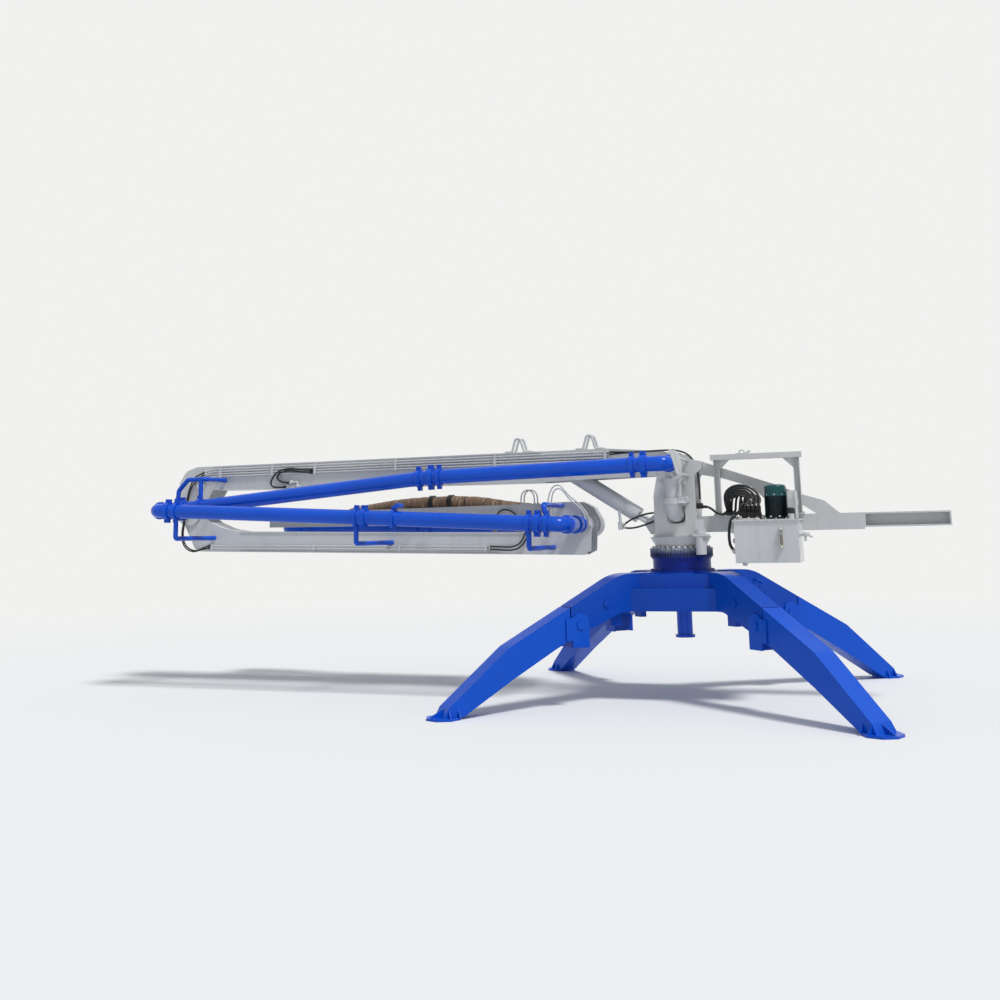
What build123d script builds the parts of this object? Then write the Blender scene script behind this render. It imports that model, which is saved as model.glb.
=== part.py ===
from build123d import *
import os
from math import cos, hypot, radians, sin, tan

# Mobile concrete placing boom on four splayed legs, three boom sections folded.
# Millimetres, Z up, feet on Z = 0. X runs along the folded boom, -X to its far
# knuckle and +X to the counter beam. The near side, with the delivery pipes, is -Y.

# Hinge axes: x from the slew axis, height above the feet
foot_pin_x = 0.0
foot_pin_z = 2080.0
knuckle_1_x = -5300.0
knuckle_1_z = 1790.0
knuckle_2_x = -930.0
knuckle_2_z = 1555.0
pin_play = 0.3           # radial clearance of every pin in its eye
pin_cap = 10.0           # thickness of the discs that hold a pin in place

# Base
foot_reach = 1700.0      # foot centre from the slew axis, along X and along Y
hub_top_z = 1110.0
hub_radius = 325.0
leg_width = 190.0
knee_radius = 1240.0     # radial place of the joint face between stub and outer leg
knee_gap = 12.0
knee_pin_z = 690.0
knee_pin_radius = 26.0
knee_cheek = 14.0
tie_half = 510.0         # half size of the square tie frame between the stubs
tie_top_z = 975.0
tie_bottom_z = 780.0
foot_plate = 20.0
foot_radius = 150.0
knee_strap = 164.0       # width of the strap round the knee pin
rib = 12.0
pedestal_radius = 265.0
pedestal_top_z = 1240.0
ring_radius = 288.0
ring_top_z = 1322.0
ring_teeth = 64
tooth_depth = 12.0

# Concrete line
pipe_od = 140.0
pipe_bore = 125.0
collar_od = 178.0
collar_width = 56.0
bend_radius = 90.0
inlet_z = 520.0
slew_joint_z = 1372.0
riser_bend_z = 1628.0

# Turret
turret_plate = 20.0
turret_left = -205.0
turret_right = 182.0
turret_floor_z = 1424.0
floor_plate = 20.0
far_flat_y = 183.0       # nothing on the turret's far side reaches past this plane
lug_pin_x = -270.0
lug_pin_z = 1555.0
lug_plate = 18.0
lug_eye_gap = 7.0

# Boom sections
boom_1_width = 280.0
boom_plate = 12.0
flange_lip = 8.0         # how far the top and bottom plates stand out past the side plates
boom_side_gap = 10.0     # between boom foot and turret plate, and between nested cheeks
boom_1_top_z = 2262.0
boom_3_width = 160.0
boom_3_side_gap = 25.0   # between the turret plate and the third section
foot_pin_radius = 45.0
knuckle_1_radius = 40.0
sleeve_radius = 88.0     # hollow pin of the second knuckle, with the pipe inside
hose_od = 150.0

# Lift cylinder
boom_lift_pin_x = -1070.0
boom_lift_pin_z = 2067.0
lift_pin_radius = 25.0
barrel_od = 150.0
barrel_nose = 815.0      # from the barrel's pin to the end it loses its rod from
rod_od = 75.0
barrel_eye_radius = 55.0
rod_eye_radius = 42.0
lift_eye_half = 38.0

# Counter beam and power pack
counter_reach = 2355.0
counter_step_x = 1640.0
counter_top_z = 1605.0
counter_bottom_z = 1460.0
counter_width = 200.0
flange = 14.0
tank_left = 565.0
tank_right = 1110.0
tank_near_y = -520.0
tank_bottom_z = 1190.0
tank_top_z = 1545.0
lid_thickness = 16.0
motor_radius = 95.0
motor_x = 915.0
motor_y = -330.0
motor_height = 300.0
fin_height = 180.0
fin_count = 30
valve_slices = 5

# Worked-out widths and planes
slew_x = (5455.0 - counter_reach) / 2
turret_half = boom_1_width / 2 + boom_side_gap + turret_plate
floor_top_z = turret_floor_z + floor_plate
boom_2_width = boom_1_width - 2 * boom_plate - 2 * boom_side_gap
boom_3_near_y = turret_half + boom_3_side_gap
boom_3_far_y = boom_3_near_y + boom_3_width
boom_3_mid_y = boom_3_near_y + boom_3_width / 2
pipe_r = pipe_od / 2
pipe_hole = pipe_r + pin_play
wall_mid = (pipe_od + pipe_bore) / 4
clamp_ear = 30.0         # how far a coupling's bolt ears stand out from its ring
ear_gap = 8.0
knee_pin_r = knee_radius - 85
elbow_reach = bend_radius + collar_width / 2
riser_y = -(turret_half + pin_cap + 20 + pipe_r)
joint_1_y = riser_y - elbow_reach
pipe_1_y = joint_1_y - elbow_reach
joint_2_y = pipe_1_y - elbow_reach
pipe_2_y = joint_2_y - elbow_reach
sleeve_end_y = boom_3_far_y + 6 + pin_cap
joint_3_y = sleeve_end_y + 6 + collar_width / 2
pipe_3_y = joint_3_y + elbow_reach
lid_top_z = tank_top_z + lid_thickness


def side(y, x=0.0, z=0.0):
    """Upright plane at Y = y whose axes run along +X and +Z; it faces the near side."""
    return Plane(origin=(slew_x + x, y, z), x_dir=(1, 0, 0), z_dir=(0, -1, 0))


def level(z, x=0.0, y=0.0):
    """Level plane at height z, centred x and y from the slew axis."""
    return Plane(origin=(slew_x + x, y, z))


def radial(angle):
    """Upright plane through the slew axis whose x axis runs out along a leg."""
    out = (cos(radians(angle)), sin(radians(angle)), 0)
    return Plane(origin=(slew_x, 0, 0), x_dir=out, z_dir=(out[1], -out[0], 0))


def at_radius(angle, r):
    """Upright plane square across a leg, r out from the slew axis."""
    out = (cos(radians(angle)), sin(radians(angle)), 0)
    return Plane(origin=(slew_x + r * out[0], r * out[1], 0), x_dir=(-out[1], out[0], 0), z_dir=out)


def round_at(x, z, radius):
    """Round the corner of the sketch in hand that lies nearest to a point."""
    fillet(vertices().sort_by_distance((x, z))[0], radius)


def place(x, y, z):
    """A point x and y from the slew axis at height z."""
    return (slew_x + x, y, z)


def across(start, end, x):
    """Plane square to the line from start to end, where that line passes x."""
    share = (x - start[0]) / (end[0] - start[0])
    point = [a + share * (b - a) for a, b in zip(start, end)]
    run = [b - a for a, b in zip(start, end)]
    return Plane(origin=place(*point), x_dir=(0, 1, 0), z_dir=run)


def save(part, name):
    part.label = name
    export_step(part, "parts/" + name + ".step")


os.makedirs("parts", exist_ok=True)

leg_angles = [("rear_right", 45), ("rear_left", 135), ("front_left", 225), ("front_right", 315)]

# Base frame: four box stubs from the hub, tied by a square frame
stub_profile = [(0, hub_top_z), (722, hub_top_z), (knee_radius, 845), (knee_radius, 505),
                (knee_radius - 165, 505), (knee_radius - 170, 640), (720, tie_bottom_z), (0, tie_bottom_z)]
with BuildPart() as base_frame:
    for name, angle in leg_angles:
        with BuildSketch(radial(angle)):
            with BuildLine():
                Polyline(*stub_profile, close=True)
            make_face()
            round_at(722, hub_top_z, 450)
            round_at(720, tie_bottom_z, 180)
            with Locations((knee_pin_r, knee_pin_z)):
                Circle(knee_pin_radius + pin_play, mode=Mode.SUBTRACT)
        extrude(amount=leg_width / 2, both=True)
        # locking boss and lug of each stub
        with BuildSketch(radial(angle)):
            with Locations((880, 860)):
                Circle(34)
        extrude(amount=leg_width / 2 + 12, both=True)
        with BuildSketch(radial(angle)):
            Polygon((690, 660), (805, 660), (805, 790), (690, 800), align=None)
        extrude(amount=30, both=True)
    with BuildSketch(level(tie_bottom_z)):
        Rectangle(2 * tie_half, 2 * tie_half)
    extrude(amount=tie_top_z - tie_bottom_z)
    with BuildSketch(level(tie_top_z - 1)):
        Rectangle(2 * tie_half - 130, 2 * tie_half - 130)
    extrude(amount=hub_top_z - tie_top_z - 11)
    with BuildSketch(level(hub_top_z - 30)):
        Circle(hub_radius)
    extrude(amount=30)
    with BuildSketch(level(tie_bottom_z - 10)):
        Circle(pipe_hole)
    extrude(amount=hub_top_z - tie_bottom_z + 20, mode=Mode.SUBTRACT)
save(base_frame.part, "base_frame")

# Outer legs: a tapering box on a foot plate, with two cheeks over the stub at the knee
foot_r = foot_reach * 2 ** 0.5
leg_root = knee_radius + knee_gap
leg_back = leg_root + 0.51 * (foot_r - leg_root)
leg_belly = leg_root + 0.5 * (foot_r - leg_root)
leg_profile = [(leg_root, 839), (leg_back, 540), (foot_r - 4, 92), (foot_r + 36, foot_plate),
               (foot_r - 142, foot_plate), (leg_belly, 270), (leg_root + 146, 498), (leg_root, 568)]
strap_profile = [(knee_pin_r, 560), (leg_root + 45, 560), (leg_root + 45, 742), (knee_pin_r, 772)]
for name, angle in leg_angles:
    with BuildPart() as outer_leg:
        with BuildSketch(radial(angle)):
            with BuildLine():
                Polyline(*leg_profile, close=True)
            make_face()
            round_at(leg_back, 540, 250)
            round_at(leg_belly, 270, 250)
            round_at(leg_root + 146, 498, 250)
        extrude(amount=leg_width / 2, both=True)
        for offset_y in (-leg_width / 2 - pin_play - knee_cheek, leg_width / 2 + pin_play):
            with BuildSketch(radial(angle).offset(offset_y)):
                Polygon(*strap_profile, align=None)
                with Locations((knee_pin_r, knee_pin_z + 20)):
                    Circle(knee_strap / 2)
                with Locations((knee_pin_r, 605)):
                    Rectangle(knee_strap, 210)
                with Locations((knee_pin_r, knee_pin_z)):
                    Circle(knee_pin_radius + pin_play, mode=Mode.SUBTRACT)
            extrude(amount=knee_cheek)
        with BuildSketch(radial(angle).offset(-leg_width / 2 - 1)):
            with Locations((leg_root + 22, 655)):
                Rectangle(46, 150)
        extrude(amount=leg_width + 2)
        # ribs that stand on the foot plate beside and beyond the leg
        for r in (foot_r - 99, foot_r - 14):
            with BuildSketch(at_radius(angle, r)):
                Polygon((-136, foot_plate - 1), (136, foot_plate - 1), (96, 84), (-96, 84), align=None)
            extrude(amount=rib)
        with BuildSketch(radial(angle)):
            Polygon((foot_r + 1, foot_plate - 1), (foot_r + 131, foot_plate - 1), (foot_r - 2, 86), align=None)
        extrude(amount=rib / 2, both=True)
        with BuildSketch(level(0, foot_r * cos(radians(angle)), foot_r * sin(radians(angle)))):
            RegularPolygon(foot_radius, 8)
        extrude(amount=foot_plate)
    save(outer_leg.part, "leg_" + name)

# Knee pins with their heads
knee_head = leg_width / 2 + pin_play + knee_cheek
with BuildPart() as knee_pins:
    for name, angle in leg_angles:
        with BuildSketch(radial(angle)):
            with Locations((knee_pin_r, knee_pin_z)):
                Circle(knee_pin_radius)
        extrude(amount=knee_head + pin_cap, both=True)
        for start in (knee_head + pin_play, -knee_head - pin_play - pin_cap):
            with BuildSketch(radial(angle).offset(start)):
                with Locations((knee_pin_r, knee_pin_z)):
                    Circle(knee_pin_radius + 12)
            extrude(amount=pin_cap)
save(knee_pins.part, "knee_pins")

# Pedestal and the toothed slew ring on it
with BuildPart() as slew_pedestal:
    with BuildSketch(level(hub_top_z)):
        Circle(pedestal_radius)
        Circle(pipe_r + 15, mode=Mode.SUBTRACT)
    extrude(amount=pedestal_top_z - hub_top_z)
    for z, radius in ((hub_top_z, pedestal_radius + 35), (pedestal_top_z - 16, ring_radius - tooth_depth)):
        with BuildSketch(level(z)):
            Circle(radius)
            Circle(pipe_r + 15, mode=Mode.SUBTRACT)
        extrude(amount=16)
    with BuildSketch(level(hub_top_z + 16)):
        with PolarLocations(pedestal_radius + 18, 12):
            RegularPolygon(11, 6)
    extrude(amount=9)
save(slew_pedestal.part, "slew_pedestal")

with BuildPart() as slew_ring:
    with BuildSketch(level(pedestal_top_z)):
        Circle(ring_radius - tooth_depth)
        with PolarLocations(ring_radius - tooth_depth / 2 - 1, ring_teeth):
            Trapezoid(13, tooth_depth + 2, 75, rotation=-90)
        Circle(collar_od / 2 + 20, mode=Mode.SUBTRACT)
    extrude(amount=ring_top_z - pedestal_top_z)
save(slew_ring.part, "slew_ring")

# Fixed inlet pipe, coming up through the hub to the slew swivel
with BuildPart() as inlet_pipe:
    with BuildSketch(level(inlet_z)):
        Circle(pipe_r)
        Circle(pipe_bore / 2, mode=Mode.SUBTRACT)
    extrude(amount=slew_joint_z - inlet_z - 1)
    with BuildSketch(level(inlet_z)):
        Circle(collar_od / 2)
        Circle(pipe_bore / 2, mode=Mode.SUBTRACT)
    extrude(amount=24)
save(inlet_pipe.part, "inlet_pipe")

# Turret: two side plates and two webs on a floor plate
plate_outline = [(turret_left, floor_top_z), (turret_left, 1800), (-172, 1960), (-112, 2120),
                 (-40, 2208), (70, 2187), (150, 2128), (250, 2105), (250, 2035),
                 (turret_right, 1980), (turret_right, floor_top_z)]
drive_x = 228.0
drive_y = -253.0
with BuildPart() as turret_frame:
    for y in (-turret_half, turret_half - turret_plate):
        with BuildSketch(side(y + turret_plate)):
            with BuildLine():
                Polyline(*plate_outline, close=True)
            make_face()
            for x, z, radius in ((-172, 1960, 300), (-112, 2120, 150), (-40, 2208, 60), (turret_right, 1980, 60)):
                round_at(x, z, radius)
            with Locations((foot_pin_x, foot_pin_z)):
                Circle(foot_pin_radius + pin_play, mode=Mode.SUBTRACT)
            if y < 0:
                with Locations((0, riser_bend_z)):
                    RectangleRounded(176, 176, 40, mode=Mode.SUBTRACT)
        extrude(amount=turret_plate)
    with BuildSketch(level(turret_floor_z)):
        with Locations(((turret_left + turret_right) / 2, 0)):
            Rectangle(turret_right - turret_left + 30, 2 * far_flat_y)
        with Locations((drive_x, drive_y + 30)):
            Rectangle(130, 160)
        Circle(pipe_hole, mode=Mode.SUBTRACT)
    extrude(amount=floor_plate)
    for x, height in ((turret_left, 216), (turret_right - 16, 270)):
        with BuildSketch(level(floor_top_z, x + 8, 0)):
            Rectangle(16, 2 * (turret_half - turret_plate))
        extrude(amount=height)
save(turret_frame.part, "turret_frame")

# Turning flange between ring and turret, a cone cut flat on the far side
with BuildPart() as turret_ring:
    with BuildSketch(level(ring_top_z + pin_play)):
        Circle(222)
    with BuildSketch(level(turret_floor_z)):
        Circle(282)
    loft()
    with BuildSketch(level(ring_top_z)):
        with Locations((0, far_flat_y + 100)):
            Rectangle(700, 200)
        Circle(collar_od / 2 + 8)
    extrude(amount=turret_floor_z - ring_top_z, mode=Mode.SUBTRACT)
save(turret_ring.part, "turret_ring")

# Lugs for the lift cylinder's rod, on the front of the turret
lug_inner = lift_eye_half + lug_eye_gap
lug_outline = [(turret_left, floor_top_z + 6), (turret_left - 60, floor_top_z + 6),
               (lug_pin_x - 44, lug_pin_z - 25), (lug_pin_x - 36, lug_pin_z + 32),
               (lug_pin_x + 5, lug_pin_z + 50), (turret_left, lug_pin_z + 95)]
with BuildPart() as lift_lugs:
    for y in (-lug_inner - lug_plate, lug_inner):
        with BuildSketch(side(y + lug_plate)):
            with BuildLine():
                Polyline(*lug_outline, close=True)
            make_face()
        extrude(amount=lug_plate)
        outer = -lug_inner - lug_plate - pin_cap if y < 0 else y
        with BuildSketch(side(outer + lug_plate + pin_cap)):
            with Locations((lug_pin_x, lug_pin_z)):
                Circle(lift_pin_radius + 8)
        extrude(amount=lug_plate + pin_cap)
save(lift_lugs.part, "lift_cylinder_lugs")

with BuildPart() as foot_pin:
    with BuildSketch(side(0)):
        with Locations((foot_pin_x, foot_pin_z)):
            Circle(foot_pin_radius)
    extrude(amount=turret_half, both=True)
    for y in (-turret_half, turret_half + pin_cap):
        with BuildSketch(side(y)):
            with Locations((foot_pin_x, foot_pin_z)):
                Circle(foot_pin_radius + 15)
        extrude(amount=pin_cap)
save(foot_pin.part, "boom_foot_pin")

# Slew drive: pinion housing under its ear of the floor plate, motor above
with BuildPart() as slew_drive:
    with BuildSketch(level(ring_top_z - 60, drive_x, drive_y)):
        Circle(47)
    extrude(amount=turret_floor_z - ring_top_z + 60)
    with BuildSketch(level(floor_top_z, drive_x, drive_y)):
        Circle(52)
    extrude(amount=40)
    with BuildSketch(level(floor_top_z + 40, drive_x, drive_y)):
        Rectangle(78, 78)
    extrude(amount=90)
save(slew_drive.part, "slew_drive")


def pipe_run(points):
    """A bent concrete pipe through points given from the slew axis."""
    with BuildPart() as run:
        with BuildLine():
            FilletPolyline(*[place(*p) for p in points], radius=bend_radius)
        start = Vector(*place(*points[0]))
        ahead = Vector(*place(*points[1])) - start
        with BuildSketch(Plane(origin=start, z_dir=ahead)):
            Circle(pipe_r)
            Circle(pipe_bore / 2, mode=Mode.SUBTRACT)
        sweep()
    return run.part


def swivel_collar(x, y, z, to_near):
    """Collar fixed on the pipe that ends at y, reaching over the next pipe."""
    own = side(y + collar_width / 2) if to_near else side(y)
    other = side(y) if to_near else side(y + collar_width / 2)
    with BuildPart() as ring:
        for plane, bore in ((own, pipe_bore / 2), (other, pipe_hole)):
            with BuildSketch(plane):
                with Locations((x, z)):
                    Circle(collar_od / 2)
                    Circle(bore, mode=Mode.SUBTRACT)
            extrude(amount=collar_width / 2)
    return ring.part


def band(middle, inner, outer, width):
    """Two-bolt clamp round a straight pipe, centred on the plane that cuts the pipe square."""
    with BuildPart() as ring:
        with BuildSketch(middle.offset(-width / 2)):
            Rectangle(2 * pipe_r / 5 + ear_gap, 2 * (outer + clamp_ear))
            Rectangle(ear_gap, 2 * (outer + clamp_ear), mode=Mode.SUBTRACT)
            Circle(outer)
            Circle(inner, mode=Mode.SUBTRACT)
        extrude(amount=width)
        with BuildSketch(Plane(origin=middle.origin, x_dir=middle.z_dir, z_dir=middle.x_dir)):
            with Locations((0, outer + clamp_ear / 2), (0, -outer - clamp_ear / 2)):
                RegularPolygon(9, 6)
        extrude(amount=pipe_r / 5 + ear_gap / 2 + 12, both=True)
    return ring.part


# Riser: from the slew swivel out through the near plate and up to the foot pin axis
riser_top = (foot_pin_x, joint_1_y + 0.5, foot_pin_z)
riser_run = pipe_run([(0, 0, slew_joint_z), (0, 0, riser_bend_z), (0, riser_y, riser_bend_z),
                      (0, riser_y, foot_pin_z), riser_top])
with BuildPart() as riser_pipe:
    with BuildSketch(level(slew_joint_z - collar_width / 2)):
        Circle(collar_od / 2)
        Circle(pipe_hole, mode=Mode.SUBTRACT)
    extrude(amount=collar_width / 2)
    with BuildSketch(level(slew_joint_z)):
        Circle(collar_od / 2)
        Circle(pipe_bore / 2, mode=Mode.SUBTRACT)
    extrude(amount=turret_floor_z - slew_joint_z - 1)
    add(riser_run)
    add(swivel_collar(foot_pin_x, joint_1_y, foot_pin_z, True))
    for z in (1745.0, 1925.0):
        round_riser = Plane(origin=place(0, riser_y, z), x_dir=(0, 1, 0), z_dir=(0, 0, 1))
        add(band(round_riser, wall_mid, collar_od / 2, collar_width))
save(riser_pipe.part, "riser_pipe")

# Counter beam: a closed box, then two flanges and a web with an end plate
with BuildPart() as counter_beam:
    with BuildSketch(side(0)):
        with BuildLine():
            Polyline((turret_right, counter_top_z), (counter_reach, counter_top_z),
                     (counter_reach, counter_bottom_z + 18), (counter_step_x, counter_bottom_z + 18),
                     (counter_step_x, counter_bottom_z), (turret_right, counter_bottom_z), close=True)
        make_face()
    extrude(amount=counter_width / 2, both=True)
    web_left = counter_step_x + flange
    web_right = counter_reach - flange
    for y in (-counter_width / 2, 8):
        with BuildSketch(side(y + counter_width / 2 - 8)):
            with Locations(((web_left + web_right) / 2, (counter_top_z + counter_bottom_z + 18) / 2)):
                Rectangle(web_right - web_left, counter_top_z - counter_bottom_z - 18 - 2 * flange)
        extrude(amount=counter_width / 2 - 8, mode=Mode.SUBTRACT)
save(counter_beam.part, "counter_beam")

# Upper tie: a slanted arm from the turret's shoulder down to the counter beam
tie_outline = [(250, 2105), (360, 2062), (880, 1880), (1090, 1790), (1310, 1720), (1440, counter_top_z),
               (1240, counter_top_z), (1100, 1700), (1060, 1712), (1010, counter_top_z),
               (830, counter_top_z), (790, 1752), (680, 1862), (410, 1950), (200, 1992), (200, 2105)]
with BuildPart() as upper_tie:
    with BuildSketch(side(0)):
        with BuildLine():
            Polyline(*tie_outline, close=True)
        make_face()
    extrude(amount=60, both=True)
    with BuildSketch(side(0)):
        with Locations((215, 2062)):
            Circle(26)
    extrude(amount=turret_half - turret_plate, both=True)
save(upper_tie.part, "upper_tie")

# Power pack: tank hung on the beam, lid, motor, valve block and switch cabinet
tank_depth = -counter_width / 2 - tank_near_y
tank_mid_x = (tank_left + tank_right) / 2
tank_mid_y = (tank_near_y - counter_width / 2) / 2
with BuildPart() as oil_tank:
    with BuildSketch(level(tank_bottom_z, tank_mid_x, tank_mid_y)):
        Rectangle(tank_right - tank_left, tank_depth)
    extrude(amount=tank_top_z - tank_bottom_z)
    with BuildSketch(side(tank_near_y)):
        with Locations((965, 1400)):
            SlotOverall(190, 34, rotation=90)
    extrude(amount=10)
save(oil_tank.part, "oil_tank")

with BuildPart() as tank_lid:
    with BuildSketch(level(tank_top_z, tank_mid_x, tank_mid_y - 5)):
        Rectangle(tank_right - tank_left + 24, tank_depth + 10)
    extrude(amount=lid_thickness)
    with BuildSketch(level(lid_top_z, 690, tank_near_y + 62)):
        SlotOverall(190, 84)
    extrude(amount=12)
    with BuildSketch(level(lid_top_z, 1052, tank_near_y + 50)):
        Circle(24)
    extrude(amount=46)
save(tank_lid.part, "tank_lid")

with BuildPart() as electric_motor:
    with BuildSketch(level(lid_top_z, motor_x, motor_y)):
        Circle(motor_radius + 12)
    extrude(amount=18)
    with BuildSketch(level(lid_top_z + 18, motor_x, motor_y)):
        Circle(motor_radius - 9)
        with PolarLocations(motor_radius - 6, fin_count):
            Rectangle(12, 4)
    extrude(amount=fin_height)
    with BuildSketch(level(lid_top_z + 18 + fin_height, motor_x, motor_y)):
        Circle(motor_radius)
    extrude(amount=motor_height - 18 - fin_height)
    fillet(edges().sort_by(Axis.Z)[-1], 26)
    with BuildSketch(level(lid_top_z + 70, motor_x, motor_y + motor_radius)):
        Rectangle(76, 60)
    extrude(amount=84)
save(electric_motor.part, "electric_motor")

with BuildPart() as valve_block:
    with BuildSketch(level(lid_top_z, 690, motor_y)):
        Rectangle(190, 100)
    extrude(amount=60)
    for index in range(valve_slices):
        x = 690 + (index - (valve_slices - 1) / 2) * 37
        with BuildSketch(level(lid_top_z + 59, x, motor_y)):
            Rectangle(33, 90)
        extrude(amount=64)
        with BuildSketch(side(motor_y - 45, x, lid_top_z + 92)):
            Circle(14)
        extrude(amount=46)
        with BuildSketch(level(lid_top_z + 122, x, motor_y + 12)):
            Circle(11)
        extrude(amount=22)
save(valve_block.part, "valve_block")

# Guard frame over the pack, standing on the counter beam
frame_left = 330.0
frame_right = 1145.0
frame_top_z = 2160.0
post = 50.0
frame_y = -counter_width / 2 + post / 2 - 20
with BuildPart() as pack_frame:
    for x in (frame_left + post, frame_right - post):
        with BuildSketch(level(counter_top_z, x, frame_y + 7)):
            Rectangle(post + 6, post - 14)
            with Locations((0, -8)):
                Rectangle(post - 10, post - 14, mode=Mode.SUBTRACT)
        extrude(amount=frame_top_z - post - counter_top_z)
    with BuildSketch(level(frame_top_z - post, (frame_left + frame_right) / 2, frame_y)):
        Rectangle(frame_right - frame_left, post + 30)
    extrude(amount=post)
save(pack_frame.part, "pack_frame")

# Switch cabinet, open to +X, and its door on two lift-off hinges at the near edge
cabinet_left = 1028.0
cabinet_right = 1082.0
cabinet_near_y = -420.0
cabinet_far_y = -240.0
cabinet_top_z = 1805.0
sheet = 4.0
door_thickness = 12.0
door_gap = 2.0
hinge_x = cabinet_right + door_gap + 6
hinge_y = cabinet_near_y - 9
hinge_radius = 7.0
knuckle = 20.0
hinge_pin = 3.0
cabinet_mid = ((cabinet_left + cabinet_right) / 2, (cabinet_near_y + cabinet_far_y) / 2)
hinge_heights = (lid_top_z + 30, cabinet_top_z - 80)
with BuildPart() as cabinet:
    with BuildSketch(level(lid_top_z, *cabinet_mid)):
        Rectangle(cabinet_right - cabinet_left, cabinet_far_y - cabinet_near_y)
    extrude(amount=cabinet_top_z - lid_top_z)
    with BuildSketch(level(lid_top_z + sheet, cabinet_mid[0] + sheet, cabinet_mid[1])):
        Rectangle(cabinet_right - cabinet_left, cabinet_far_y - cabinet_near_y - 2 * sheet)
    extrude(amount=cabinet_top_z - lid_top_z - 2 * sheet, mode=Mode.SUBTRACT)
    for z in hinge_heights:
        with BuildSketch(level(z, hinge_x, hinge_y)):
            Circle(hinge_radius)
            with Locations((-20, 7)):
                Rectangle(44, 4)
        extrude(amount=knuckle)
        with BuildSketch(level(z + knuckle, hinge_x, hinge_y)):
            Circle(hinge_pin)
        extrude(amount=knuckle)
save(cabinet.part, "switch_cabinet")

with BuildPart() as cabinet_door:
    with BuildSketch(level(lid_top_z + 6, cabinet_right + door_gap + door_thickness / 2, cabinet_mid[1] + 1)):
        Rectangle(door_thickness, cabinet_far_y - cabinet_near_y - 2)
    extrude(amount=cabinet_top_z - lid_top_z - 8)
    for z in hinge_heights:
        with BuildSketch(level(z + knuckle + 0.5, hinge_x, hinge_y)):
            Circle(hinge_radius)
            with Locations((4, 9)):
                Rectangle(4, 14)
            Circle(hinge_pin + pin_play, mode=Mode.SUBTRACT)
        extrude(amount=knuckle)
    with BuildSketch(level(1680, cabinet_right + door_gap + door_thickness + 5, cabinet_far_y - 25)):
        Rectangle(10, 12)
    extrude(amount=50)
save(cabinet_door.part, "switch_cabinet_door")

# Boom section 1: closed box, open foot with the hinge eye, and the forked head
box_1_left = -5000.0
box_1_right = -1300.0
box_1_profile = [(box_1_left, boom_1_top_z), (box_1_right, boom_1_top_z), (box_1_right, 1965),
                 (-3500, 1985), (box_1_left, 2008)]
with BuildPart() as boom_1_box:
    with BuildSketch(side(0)):
        with BuildLine():
            Polyline(*box_1_profile, close=True)
        make_face()
    extrude(amount=boom_1_width / 2, both=True)
    with BuildSketch(side(0)):
        Polygon((box_1_left, boom_1_top_z), (box_1_right, boom_1_top_z),
                (box_1_right, boom_1_top_z - boom_plate), (box_1_left, boom_1_top_z - boom_plate), align=None)
        Polygon((box_1_right, 1965), (-3500, 1985), (box_1_left, 2008), (box_1_left, 2008 + boom_plate),
                (-3500, 1985 + boom_plate), (box_1_right, 1965 + boom_plate), align=None)
    extrude(amount=boom_1_width / 2 + flange_lip, both=True)
    with BuildSketch(side(0)):
        with BuildLine():
            Polyline(*box_1_profile, close=True)
        make_face()
        offset(amount=-boom_plate, mode=Mode.REPLACE)
    extrude(amount=boom_1_width / 2 - boom_plate, both=True, mode=Mode.SUBTRACT)
save(boom_1_box.part, "boom_1_box")

foot_profile = [(box_1_right, boom_1_top_z), (-650, boom_1_top_z), (-110, 2215), (40, 2165), (40, 1995),
                (-480, 1985), (box_1_right, 1965)]
foot_roof = [(box_1_right, boom_1_top_z), (-650, boom_1_top_z), (-300, 2231), (-300, 2219),
             (-650, boom_1_top_z - boom_plate), (box_1_right, boom_1_top_z - boom_plate)]
with BuildPart() as boom_1_foot:
    for y in (-boom_1_width / 2, boom_1_width / 2 - boom_plate):
        with BuildSketch(side(y + boom_plate)):
            with BuildLine():
                Polyline(*foot_profile, close=True)
            make_face()
            with Locations((foot_pin_x, foot_pin_z)):
                Circle(95)
                Circle(foot_pin_radius + pin_play, mode=Mode.SUBTRACT)
        extrude(amount=boom_plate)
    with BuildSketch(side(0)):
        with BuildLine():
            Polyline(*foot_roof, close=True)
        make_face()
        with Locations((boom_lift_pin_x, boom_lift_pin_z)):
            Circle(lift_pin_radius)
    extrude(amount=boom_1_width / 2 - boom_plate, both=True)
    with BuildSketch(side(0)):
        with Locations((boom_lift_pin_x, boom_lift_pin_z)):
            Circle(lift_pin_radius + 14)
    extrude(amount=boom_1_width / 2 + 8, both=True)
    with BuildSketch(side(0)):
        with Locations((boom_lift_pin_x, boom_lift_pin_z)):
            Circle(lift_pin_radius + 16)
            Circle(lift_pin_radius, mode=Mode.SUBTRACT)
    extrude(amount=boom_1_width / 2 - boom_plate, both=True, mode=Mode.SUBTRACT)
save(boom_1_foot.part, "boom_1_foot")

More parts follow.
